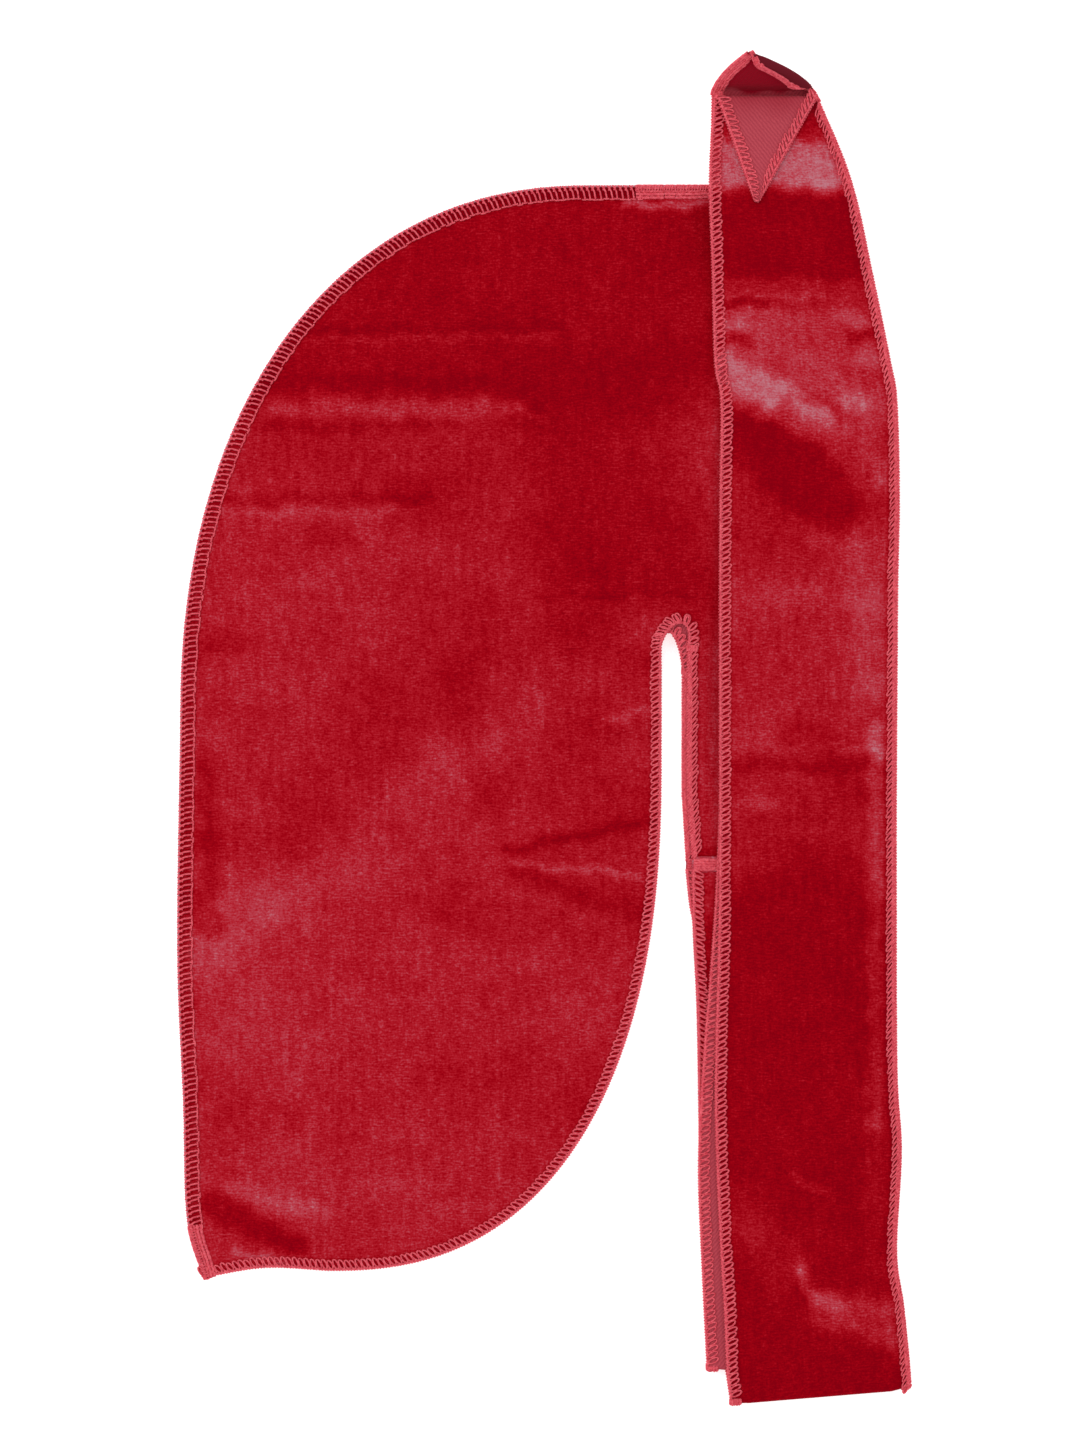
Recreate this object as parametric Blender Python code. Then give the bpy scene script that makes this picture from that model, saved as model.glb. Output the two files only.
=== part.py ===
"""A velvet durag, folded in half along its crown seam and laid flat.

Layers, from the surface up: the left (far) half of the cap, the right (near) half, puffed up a
little over the hollow between them, and the two ties. Each tie runs down from its root, is folded
forward, and runs up past the crown. Sizes are in millimetres until a mesh is made, X is across,
Y is from the tail to the crown and Z is up from the surface that the durag lies on.
"""
import math
from collections import namedtuple

import bpy
import numpy as np
from mathutils import Vector
from mathutils.geometry import delaunay_2d_cdt

MM = 0.001

# Cloth and layers
CLOTH = 1.2                 # one layer of stretch velvet with its pile
GAP = 0.5                   # air between two layers that lie on each other
LAYER = CLOTH + GAP         # rise from the middle of one layer to the middle of the next
FLOOR_LAYER = CLOTH / 2     # middle of a layer that lies on the surface
NEAR_LAYER = FLOOR_LAYER + LAYER

# Outline of the folded cap: a superellipse quarter for the crown, another for the tail's hem
Oval = namedtuple("Oval", "x y half_width half_height power")
CROWN = Oval(20.0, 3.7, 178.0, 232.2, 2.2)
TAIL = Oval(-92.9, -13.7, 143.7, 221.3, 2.4)
BACK_SEAM = [(-158.0, 3.7), (-159.3, -96.0), (-156.8, -161.0), (-155.2, -212.0), (-148.0, -238.0)]
TAIL_CORNER_HEM = [(-148.0, -238.0), (-121.0, -233.7), (-92.9, -235.0)]
FRONT_HEM = [(140.2, -55.8), (138.5, 50.6), (134.6, 150.0), (129.0, 235.9)]
NOTCH_LEFT = 50.8           # tail's edge of the notch
NOTCH_SHOULDER = 36.0       # height at which the notch's round top starts
NOTCH_TOP = 45.8
ROOT_END = -55.8            # lower end of the cap's root, where the tie seam starts
Root = namedtuple("Root", "notch_right corner_x")
RIGHT_ROOT = Root(62.1, 64.2)
LEFT_ROOT = Root(59.9, 61.6)

# Puff of the near half over the far one
PUFF = 7.0                  # highest rise of the near half above its lying height
PUFF_FROM_SEAM = (10.0, 46.0)    # distance from the seam where the rise starts and is full
PUFF_ALONG = (-25.0, 80.0)      # height on the cap where it starts and is full
WRINKLES_FROM_SEAM = 12.0       # length over which the wrinkles fade in from there

# Mouth of the cap, which the ties bridge without hanging into it
MOUTH = namedtuple("Mouth", "left right y")(120.0, 158.0, 48.0)
SEAM_TOP_Y = CROWN.y + CROWN.half_height

# Crown seam, a band of overlock stitches hooked over the joined edges
SEAM_WALL = 0.8             # thread and folded edges outside the cloth's edge
SEAM_LIP = 5.4              # how far the band reaches onto the near half
SEAM_GAP = 0.3
SEAM_CLEAR = 3.0            # the near half lies flat this far past the band's lip
SEAM_CHAMFER = 0.35
SEAM_HEIGHT = NEAR_LAYER + CLOTH / 2 + SEAM_GAP + SEAM_WALL

# Ties
STRAP_WIDTH = 76.0
TIE_SEAM = (-61.7, -56.1)   # lower and upper edge of the seam across a tie's root
TIE_SEAM_THICK = 1.5
TIE_SEAM_CHAMFER = 0.5
STRAP_START = -62.0         # where a tie's cloth starts below that seam
RIGHT_FOLD_Y = -278.0       # lower end of the near tie's fold
LEFT_FOLD_Y = (-294.0, -286.6)  # lower end of the far tie's fold, at its left and right edge
FOLD_RADIUS = 1.3           # of the near tie's fold, at the middle of the cloth
LEFT_FOLD_RADIUS = 2.9      # of the far tie's, which goes round the near one
TILT_ENDS = -224.0          # where the rows of the far tie lie straight again
TILT_LENGTH = 70.0
FOLD_SETTLE = 14.0          # length over which that fold flattens
FOLD_STEPS = 6              # faces round a fold
LEFT_TIP_FOLD_Y = 274.3     # where the far tie's tip is folded forward
LEFT_TIP_BASE = (75.5, 117.6)
LEFT_TIP_END = (92.0, 227.6)
RIGHT_TIP_Y = 276.5         # where the near tie's tip starts to curl up
RIGHT_TIP_END_X = 88.5
RIGHT_TIP_REACH = 17.0      # how far the curled tip still reaches along Y
RIGHT_TIP_RISE = 25.0       # how high it stands
TIP_BLUNT = 4.0             # width at the very end of a tip
TIP_PLACES = (0.0, 0.2, 0.4, 0.6, 0.8, 1.0)
TIP_SETTLE = 0.15           # share of a tip's length over which its fold flattens

# Edges of the ties' runs: left and right edge at a distance along Y
Edge = namedtuple("Edge", "y left right")
RIGHT_DOWN = [
    Edge(-62.0, 64.2, 140.2), Edge(-89.0, 64.7, 140.7), Edge(-126.0, 66.4, 142.4),
    Edge(-205.0, 67.7, 143.7), Edge(-248.0, 69.4, 145.4), Edge(-278.0, 70.7, 146.7)]
RIGHT_UP = [
    Edge(-278.0, 70.7, 146.7), Edge(-232.0, 68.4, 144.4), Edge(-188.0, 66.9, 143.1),
    Edge(-140.0, 69.3, 145.2), Edge(-108.0, 71.9, 147.9), Edge(-63.0, 74.9, 150.9),
    Edge(12.0, 77.3, 152.0), Edge(99.0, 77.3, 152.3), Edge(141.0, 76.8, 151.2),
    Edge(158.0, 74.6, 148.9), Edge(197.0, 73.3, 140.8), Edge(238.0, 72.5, 131.7),
    Edge(276.5, 72.9, 117.6)]
LEFT_DOWN = [
    Edge(-62.0, 61.6, 137.6), Edge(-76.0, 63.1, 139.1), Edge(-89.0, 65.3, 141.3),
    Edge(-118.0, 67.6, 143.6), Edge(-161.0, 68.7, 144.7), Edge(-205.0, 70.4, 146.4),
    Edge(-248.0, 74.6, 151.0), Edge(-294.0, 81.2, 159.3)]
LEFT_UP = [
    Edge(-294.0, 81.2, 159.3), Edge(-277.0, 79.2, 158.0), Edge(-251.0, 78.1, 155.6),
    Edge(-226.0, 76.5, 152.8), Edge(-183.0, 74.6, 154.9), Edge(-148.0, 74.2, 153.0),
    Edge(-70.0, 75.9, 152.6), Edge(50.0, 75.8, 152.8), Edge(99.0, 76.0, 153.6),
    Edge(141.0, 76.4, 152.6), Edge(158.0, 73.8, 149.9), Edge(197.0, 72.7, 141.9),
    Edge(238.0, 71.6, 132.8), Edge(274.3, 73.8, 118.5)]

# Wrinkles: a ridge from one point to another, with its half width, height and sideways bow
Fold = namedtuple("Fold", "x0 y0 x1 y1 width height bow")
PANEL_FOLDS = [
    Fold(-104.0, 178.0, 10.0, 181.0, 9.0, 1.6, 3.0),
    Fold(-116.0, 141.0, -13.0, 141.0, 8.0, 2.4, 4.0),
    Fold(-13.0, 141.0, 4.0, 132.0, 6.0, 1.6, 0.0),
    Fold(-138.0, 98.0, -48.0, 99.0, 9.0, 1.5, 3.0),
    Fold(-16.0, -58.0, 48.0, -77.0, 7.0, 1.9, -2.0),
    Fold(-16.0, -52.0, 48.0, -36.0, 7.0, 1.4, 2.0),
    Fold(24.0, -2.0, 48.0, 6.0, 6.0, 1.5, 1.0),
    Fold(4.0, 52.0, 62.0, 57.0, 8.0, 1.2, 2.0),
    Fold(-136.0, -40.0, -128.0, -84.0, 9.0, 1.4, 2.0),
    Fold(-146.0, -196.0, -96.0, -222.0, 10.0, 1.6, 5.0),
    Fold(-21.0, -162.0, -21.0, -206.0, 8.0, 1.0, 1.0)]
STRAP_FOLDS = [
    Fold(76.0, 183.0, 112.0, 180.0, 7.0, 1.2, 1.0),
    Fold(80.0, 158.0, 116.0, 130.0, 8.0, 1.6, 2.0),
    Fold(76.0, -8.0, 152.0, -10.0, 7.0, 1.2, 2.0),
    Fold(84.0, -38.0, 140.0, -32.0, 8.0, 1.0, 2.0),
    Fold(106.0, -196.0, 126.0, -204.0, 7.0, 1.2, 0.0),
    Fold(112.0, -228.0, 154.0, -262.0, 10.0, 1.8, 8.0)]

# Mesh and height map
CELL = 2.0                  # of the height map that the ties are laid on
REACH = 9.0                 # how gently a tie comes down from what lies below it
MARGIN = 5.0                # how far past an edge it keeps its height
MAP_X = np.arange(-176.0, 177.0, CELL)
MAP_Y = np.arange(-316.0, 317.0, CELL)
OUTLINE_STEP = 9.5
ARCH_STEP = 3.5             # round the notch's top
NOTCH_PARTS = 12
PANEL_STEP = 10.5
STRAP_STEP = 10.0
STRAP_COLUMNS = 8
FLANK = 1.3                 # a wrinkle's outer rows of points, in half widths from its ridge
SPACING = 0.55              # smallest distance between two points, as a share of the step
WRINKLE_CLEAR = 6.0         # rows of a tie keep this far from a row on a wrinkle

SHARP = math.radians(40)

Finish = namedtuple("Finish", "name colour roughness")
VELVET = Finish("red velvet", (0.42, 0.009, 0.019), 0.85)
VELVET_FAR = Finish("red velvet, far half", (0.36, 0.008, 0.016), 0.85)
THREAD = Finish("overlock thread", (0.62, 0.09, 0.11), 0.7)


def smooth(t):
    """Ramp from 0 to 1 with soft ends."""
    t = np.clip(t, 0.0, 1.0)
    return t * t * (3.0 - 2.0 * t)


def resample(points, step):
    """Points at an even spacing along a polyline, its two ends kept."""
    points = np.array(points, float)
    lengths = np.hypot(*np.diff(points, axis=0).T)
    along = np.concatenate([[0.0], np.cumsum(lengths)])
    places = np.linspace(0.0, along[-1], max(2, round(along[-1] / step) + 1))
    return np.column_stack([np.interp(places, along, points[:, axis]) for axis in (0, 1)])


def soft_curve(knots, parts=8):
    """A smooth curve through a few knots."""
    knots = np.array(knots, float)
    padded = np.vstack([2 * knots[0] - knots[1], knots, 2 * knots[-1] - knots[-2]])
    points = [knots[0]]
    for a, b, c, d in zip(padded, padded[1:], padded[2:], padded[3:]):
        for t in np.arange(1, parts + 1) / parts:
            points.append(0.5 * (2 * b + (c - a) * t + (2 * a - 5 * b + 4 * c - d) * t * t
                                 + (3 * b - a - 3 * c + d) * t ** 3))
    return np.array(points)


def oval_arc(oval, start, end, parts=48):
    """A stretch of a superellipse between two angles in degrees."""
    points = []
    for angle in np.radians(np.linspace(start, end, parts + 1)):
        c, s = math.cos(angle), math.sin(angle)
        x = math.copysign(abs(c) ** (2 / oval.power), c)
        y = math.copysign(abs(s) ** (2 / oval.power), s)
        points.append((oval.x + oval.half_width * x, oval.y + oval.half_height * y))
    return np.array(points)


def seam_path():
    """Outer edge of the crown seam, from the front hem over the crown to the tail's corner."""
    front = [(FRONT_HEM[-1][0], CROWN.y + CROWN.half_height)]
    return resample(np.vstack([front, oval_arc(CROWN, 90, 180), soft_curve(BACK_SEAM)]),
                    OUTLINE_STEP)


def inward(path):
    """Unit normals on the left of a path, which runs round the cap against the clock."""
    tangents = np.gradient(path, axis=0)
    tangents /= np.hypot(*tangents.T)[:, None]
    return np.column_stack([-tangents[:, 1], tangents[:, 0]])


def panel_outline(root):
    """Edge of one half of the cap, round against the clock from the front hem's top."""
    path = seam_path()
    seam_edge = path + (SEAM_WALL + SEAM_GAP) * inward(path)
    hem = np.vstack([soft_curve(TAIL_CORNER_HEM)[1:], oval_arc(TAIL, 270, 360)[1:]])
    middle = (NOTCH_LEFT + root.notch_right) / 2
    round_top = Oval(middle, NOTCH_SHOULDER, root.notch_right - middle, NOTCH_TOP - NOTCH_SHOULDER, 2.0)
    arch = oval_arc(round_top, 180, 0, NOTCH_PARTS)
    corner = (root.corner_x, ROOT_END)
    front = soft_curve(FRONT_HEM)
    moved = (root.corner_x - RIGHT_ROOT.corner_x) * smooth((NOTCH_SHOULDER - front[:, 1]) / NOTCH_SHOULDER)
    front[:, 0] += moved
    front[-1] = seam_edge[0]
    sides = [hem, [hem[-1], arch[0]], arch, [arch[-1], (root.notch_right, ROOT_END / 2), corner],
             [corner, front[0]], front]
    steps = [OUTLINE_STEP, OUTLINE_STEP, ARCH_STEP, OUTLINE_STEP, OUTLINE_STEP, OUTLINE_STEP]
    rest = [resample(side, step)[:-1] for side, step in zip(sides, steps)]
    return np.vstack([seam_edge] + rest)


def seam_distance(x, y):
    """Rough distance from a point of the cap to its crown seam, from the crown's own formula."""
    across = np.clip(CROWN.x - x, 0.0, None) / CROWN.half_width
    up = np.clip(y - CROWN.y, 0.0, None) / CROWN.half_height
    level = (across ** CROWN.power + up ** CROWN.power) ** (1 / CROWN.power)
    return (1.0 - level) * (CROWN.half_width + CROWN.half_height) / 2


def fold_height(x, y, folds):
    """Height that a table of wrinkles adds at a point."""
    total = np.zeros(np.broadcast(x, y).shape)
    for fold in folds:
        dx, dy = fold.x1 - fold.x0, fold.y1 - fold.y0
        length = math.hypot(dx, dy)
        t = ((x - fold.x0) * dx + (y - fold.y0) * dy) / length ** 2
        side = ((y - fold.y0) * dx - (x - fold.x0) * dy) / length
        side = side - fold.bow * 4 * t * (1 - t)
        ends = smooth((t + 0.05) / 0.3) * smooth((1.05 - t) / 0.3)      # fades out at both ends
        total += fold.height * np.exp(-(side / fold.width) ** 2) * ends
    return total


def near_height(x, y):
    """Middle of the near half's cloth."""
    x, y = np.asarray(x, float), np.asarray(y, float)
    from_seam = seam_distance(x, y)
    rise = smooth((from_seam - PUFF_FROM_SEAM[0]) / (PUFF_FROM_SEAM[1] - PUFF_FROM_SEAM[0]))
    rise = rise * smooth((y - PUFF_ALONG[0]) / (PUFF_ALONG[1] - PUFF_ALONG[0]))
    free = smooth((from_seam - PUFF_FROM_SEAM[0]) / WRINKLES_FROM_SEAM)
    return NEAR_LAYER + PUFF * rise + free * fold_height(x, y, PANEL_FOLDS)


def far_height(x, y):
    """Middle of a layer that lies on the surface."""
    return np.full(np.broadcast(x, y).shape, FLOOR_LAYER)


def inside(outline, x, y):
    """Which points lie inside a closed outline."""
    result = np.zeros(np.broadcast(x, y).shape, bool)
    for (x0, y0), (x1, y1) in zip(outline, np.roll(outline, -1, axis=0)):
        if y0 != y1:
            crosses = (y0 > y) != (y1 > y)
            result ^= crosses & (x < x0 + (y - y0) * (x1 - x0) / (y1 - y0))
    return result


def edge_at(edges, y):
    """Left and right edge of a run at a distance along Y."""
    ordered = sorted(edges)
    places = [edge.y for edge in ordered]
    left = np.interp(y, places, [edge.left for edge in ordered])
    right = np.interp(y, places, [edge.right for edge in ordered])
    return left, right


def sweep_window(grid, reach, combine):
    """Combine each cell of a map with its neighbours within a reach, along both axes."""
    cells = round(reach / CELL)
    for axis in (0, 1):
        shifted = [np.roll(grid, step, axis=axis) for step in range(-cells, cells + 1)]
        grid = combine(np.array(shifted), axis=0)
    return grid


class Stack:
    """Height map of everything laid so far, which the next layer is laid on."""

    def __init__(self):
        self.x, self.y = np.meshgrid(MAP_X, MAP_Y)
        self.top = np.zeros(self.x.shape)

    def add(self, mask, middle, thickness=CLOTH):
        """Lay a piece, given by its middle height, where the mask holds."""
        self.top = np.where(mask, np.maximum(self.top, middle + thickness / 2), self.top)

    def drape(self, folds=()):
        """Middle height of a layer of cloth laid over the stack."""
        wide = sweep_window(self.top, REACH + MARGIN, np.max)
        soft = sweep_window(wide, REACH, np.mean)
        return soft + np.minimum(soft, GAP) + CLOTH / 2 + fold_height(self.x, self.y, folds)


def sample(grid, x, y):
    """Height of a map between its cells."""
    column = (np.asarray(x, float) - MAP_X[0]) / CELL
    row = (np.asarray(y, float) - MAP_Y[0]) / CELL
    i, j = np.floor(row).astype(int), np.floor(column).astype(int)
    u, v = row - i, column - j
    low = grid[i, j] * (1 - v) + grid[i, j + 1] * v
    high = grid[i + 1, j] * (1 - v) + grid[i + 1, j + 1] * v
    return low * (1 - u) + high * u


def add_object(name, vertices, faces, finish):
    """Make a mesh object, in metres, with its own material."""
    mesh = bpy.data.meshes.new(name)
    mesh.from_pydata([Vector(v) * MM for v in vertices], [], faces)
    mesh.validate()
    mesh.shade_smooth()
    mesh.set_sharp_from_angle(angle=SHARP)
    material = bpy.data.materials.new(finish.name)
    material.use_nodes = True
    shader = material.node_tree.nodes["Principled BSDF"]
    shader.inputs["Base Color"].default_value = (*finish.colour, 1.0)
    shader.inputs["Roughness"].default_value = finish.roughness
    mesh.materials.append(material)
    made = bpy.data.objects.new(name, mesh)
    bpy.context.scene.collection.objects.link(made)
    return made


def wall_between(top, bottom, triangles):
    """Faces of a wall whose two sides share their triangles."""
    count = len(top)
    faces = [tuple(t) for t in triangles] + [tuple(v + count for v in reversed(t)) for t in triangles]
    directed = {(t[k], t[(k + 1) % len(t)]) for t in triangles for k in range(len(t))}
    faces += [(b, a, a + count, b + count) for a, b in sorted(directed) if (b, a) not in directed]
    return np.vstack([top, bottom]), faces


def panel_points(outline, step, folds):
    """Points inside an outline: a row beside the seam, rows along each wrinkle, and a loose grid."""
    path = seam_path()
    wanted = list(path + (SEAM_LIP + SEAM_CLEAR) * inward(path))
    for fold in folds:
        start, end = np.array([fold.x0, fold.y0]), np.array([fold.x1, fold.y1])
        along = (end - start) / np.hypot(*(end - start))
        across = np.array([-along[1], along[0]])
        for t in np.linspace(0.0, 1.0, max(2, round(np.hypot(*(end - start)) / step) + 1)):
            for offset in (-FLANK * fold.width, 0.0, FLANK * fold.width):
                bow = fold.bow * 4 * t * (1 - t)
                wanted.append(start + (end - start) * t + across * (offset + bow))
    rows = np.arange(outline[:, 1].min(), outline[:, 1].max(), step * math.sqrt(0.75))
    for number, y in enumerate(rows):
        for x in np.arange(outline[:, 0].min() + (number % 2) * step / 2, outline[:, 0].max(), step):
            wanted.append(np.array([x, y]))
    kept = []
    for point in wanted:
        if not inside(outline, *point):
            continue
        nearest = np.hypot(*(np.vstack([outline] + kept) - point).T).min()
        if nearest > SPACING * step:
            kept.append(point)
    return np.vstack(kept)


def cloth_panel(name, outline, height, step, folds, finish):
    """One half of the cap as a wall of cloth over a triangulated outline."""
    points = np.vstack([outline, panel_points(outline, step, folds)]) if step else outline
    count = len(outline)
    loop = [(k, (k + 1) % count) for k in range(count)]
    found = delaunay_2d_cdt([Vector(p) for p in points], loop, [], 1, 1e-6)
    flat = np.array([tuple(v) for v in found[0]])
    triangles = []
    for triangle in found[2]:
        a, b, c = (flat[v] for v in triangle)
        turn = (b[0] - a[0]) * (c[1] - a[1]) - (b[1] - a[1]) * (c[0] - a[0])
        triangles.append(tuple(triangle) if turn > 0 else tuple(reversed(triangle)))
    x, y = flat.T
    middle = np.column_stack([x, y, height(x, y)])
    slope_x = (height(x + 1, y) - height(x - 1, y)) / 2
    slope_y = (height(x, y + 1) - height(x, y - 1)) / 2
    normals = np.column_stack([-slope_x, -slope_y, np.ones(len(x))])
    normals /= np.linalg.norm(normals, axis=1)[:, None]
    half = normals * CLOTH / 2
    vertices, faces = wall_between(middle + half, middle - half, triangles)
    return add_object(name, vertices, faces, finish)


def band(name, path, normals, profile, finish):
    """A solid band swept along a flat path, from a profile of distance inwards and height."""
    size = len(profile)
    vertices = [(*(point + normal * u), z) for point, normal in zip(path, normals) for u, z in profile]
    faces = [tuple(reversed(range(size))), tuple(range(len(vertices) - size, len(vertices)))]
    for row in range(len(path) - 1):
        for k in range(size):
            a, b = row * size + k, row * size + (k + 1) % size
            faces.append((a, b, b + size, a + size))
    return add_object(name, vertices, faces, finish)


def crown_seam():
    """The overlocked seam along the fold of the durag."""
    top, chamfer = SEAM_HEIGHT, SEAM_CHAMFER
    profile = [(0.0, chamfer), (chamfer, 0.0), (SEAM_WALL, 0.0), (SEAM_WALL, top - SEAM_WALL),
               (SEAM_LIP, top - SEAM_WALL), (SEAM_LIP, top - chamfer), (SEAM_WALL, top),
               (0.0, top - 1.5 * chamfer)]
    path = seam_path()
    band("crown_seam", path, inward(path), profile, THREAD)


def tie_seam(name, left, bottom):
    """The overlocked seam across the root of a tie."""
    lower, upper = TIE_SEAM
    top, chamfer = bottom + TIE_SEAM_THICK, TIE_SEAM_CHAMFER
    profile = [(0.0, bottom), (upper - lower, bottom), (upper - lower, top - chamfer),
               (upper - lower - chamfer, top), (chamfer, top), (0.0, top - chamfer)]
    path = np.array([(left, lower), (left + STRAP_WIDTH, lower)])
    band(name, path, np.array([(0.0, 1.0), (0.0, 1.0)]), profile, THREAD)


def run_rows(places, edges, grid, tilt=0.0):
    """Rows of points across a run. Those near a tilted fold are turned with it."""
    columns = np.linspace(0.0, 1.0, STRAP_COLUMNS + 1)
    rows = []
    for y in places:
        left, right = edge_at(edges, y)
        x = left + (right - left) * columns
        row_y = y + tilt * smooth((TILT_ENDS - y) / TILT_LENGTH) * columns
        rows.append(np.column_stack([x, row_y, sample(grid, x, row_y)]))
    return rows


def fold_rows(last, first, side):
    """Rows round a fold that bulges towards one side of Y, from one run's end to the next's start."""
    rows = []
    radius = np.abs(first[:, 2] - last[:, 2]) / 2
    for angle in np.radians(np.linspace(0, 180, FOLD_STEPS + 1)[1:-1]):
        share = (1 - math.cos(angle)) / 2
        row = last + (first - last) * share
        row[:, 1] += side * radius * math.sin(angle)
        rows.append(row)
    return rows


def run_places(start, end, folds=()):
    """Places of the rows along a run, with a row on each wrinkle that crosses it."""
    places = list(np.linspace(start, end, max(2, round(abs(end - start) / STRAP_STEP) + 1)))
    crossing = [(fold.y0 + fold.y1) / 2 for fold in folds]
    wanted = [y for y in crossing if min(start, end) < y < max(start, end)]
    near = [y for y in places[1:-1] if not any(abs(y - other) < WRINKLE_CLEAR for other in wanted)]
    return sorted([places[0], places[-1]] + near + wanted, reverse=bool(end < start))


def run_mask(stack, edges, low, high):
    """Cells of the map that a run of a tie covers."""
    left, right = edge_at(edges, stack.y)
    return (stack.x > left) & (stack.x < right) & (stack.y > low) & (stack.y < high)


def ribbon(name, rows, finish):
    """A tie as a wall of cloth over a grid of points, row by row."""
    grid = np.array(rows)
    normals = np.cross(np.gradient(grid, axis=1), np.gradient(grid, axis=0))
    normals /= np.linalg.norm(normals, axis=2)[:, :, None]
    half = (normals * CLOTH / 2).reshape(-1, 3)
    middle = grid.reshape(-1, 3)
    width = grid.shape[1]
    faces = []
    for row in range(grid.shape[0] - 1):
        for column in range(width - 1):
            a = row * width + column
            faces.append((a, a + 1, a + width + 1, a + width))
    vertices, faces = wall_between(middle + half, middle - half, faces)
    return add_object(name, vertices, faces, finish)


def curled_tip(base):
    """Rows of the near tie's tip, which curls up off the surface to a point."""
    rows = []
    for t in TIP_PLACES[1:]:
        left = base[0, 0] + t * (RIGHT_TIP_END_X - TIP_BLUNT / 2 - base[0, 0])
        right = base[-1, 0] + t * (RIGHT_TIP_END_X + TIP_BLUNT / 2 - base[-1, 0])
        row = base.copy()
        row[:, 0] = np.linspace(left, right, len(base))
        row[:, 1] += RIGHT_TIP_REACH * math.sin(t * math.pi / 2)
        row[:, 2] += RIGHT_TIP_RISE * (1 - math.cos(t * math.pi / 2))
        rows.append(row)
    return rows


def folded_tip(base, grid):
    """Rows of the far tie's tip, which lies folded forward on its own run."""
    rows = []
    for t in TIP_PLACES:
        left = LEFT_TIP_BASE[0] + t * (LEFT_TIP_END[0] - TIP_BLUNT / 2 - LEFT_TIP_BASE[0])
        right = LEFT_TIP_BASE[1] + t * (LEFT_TIP_END[0] + TIP_BLUNT / 2 - LEFT_TIP_BASE[1])
        x = np.linspace(left, right, len(base))
        y = np.full(len(base), base[0, 1] + t * (LEFT_TIP_END[1] - base[0, 1]))
        lift = LAYER + (2 * FOLD_RADIUS - LAYER) * math.exp(-t / TIP_SETTLE)
        rows.append(np.column_stack([x, y, sample(grid, x, y) + lift]))
    return rows


def lay_far_tie_down(stack):
    """First run of the far tie, from its root down along the surface."""
    grid = np.full(stack.x.shape, FLOOR_LAYER)
    tilt = LEFT_FOLD_Y[1] - LEFT_FOLD_Y[0]
    end = LEFT_FOLD_Y[0] + CLOTH / 2 + LEFT_FOLD_RADIUS
    stack.add(run_mask(stack, LEFT_DOWN, LEFT_FOLD_Y[0], STRAP_START), grid)
    return run_rows(run_places(STRAP_START, end), LEFT_DOWN, grid, tilt)


def lay_near_tie_down(stack):
    """First run of the near tie, on top of the far one."""
    grid = stack.drape()
    end = RIGHT_FOLD_Y + CLOTH / 2 + FOLD_RADIUS
    return run_rows(run_places(STRAP_START, end), RIGHT_DOWN, grid), grid


def lay_near_tie_up(stack, down, down_grid):
    """Second run of the near tie, up with its reverse side up, and its curled tip."""
    start = down[-1][0, 1]
    grid = stack.drape()
    settle = np.exp(-((stack.y - start) / FOLD_SETTLE) ** 2)
    grid = grid + np.clip(down_grid + 2 * FOLD_RADIUS - grid, 0.0, None) * settle
    up = run_rows(run_places(start, RIGHT_TIP_Y), RIGHT_UP, grid)
    stack.add(run_mask(stack, RIGHT_UP, RIGHT_FOLD_Y, RIGHT_TIP_Y), grid)
    return down + fold_rows(down[-1], up[0], -1.0) + up + curled_tip(up[-1])


def lay_far_tie_up(stack, down):
    """Second run of the far tie, on top of everything, and its folded tip."""
    tilt = LEFT_FOLD_Y[1] - LEFT_FOLD_Y[0]
    grid = stack.drape(STRAP_FOLDS)
    end = LEFT_TIP_FOLD_Y - CLOTH / 2 - FOLD_RADIUS
    up = run_rows(run_places(down[-1][0, 1], end, STRAP_FOLDS), LEFT_UP, grid, tilt)
    tip = folded_tip(up[-1], grid)
    return down + fold_rows(down[-1], up[0], -1.0) + up + fold_rows(up[-1], tip[0], 1.0) + tip


def centre_on_origin():
    """Move every piece so that the durag's box is centred on the origin and stands at height 0."""
    corners = [part.matrix_world @ vertex.co for part in bpy.data.objects for vertex in part.data.vertices]
    x = (min(c.x for c in corners) + max(c.x for c in corners)) / 2
    y = (min(c.y for c in corners) + max(c.y for c in corners)) / 2
    for part in bpy.data.objects:
        part.location = Vector((-x, -y, -min(c.z for c in corners)))


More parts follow.
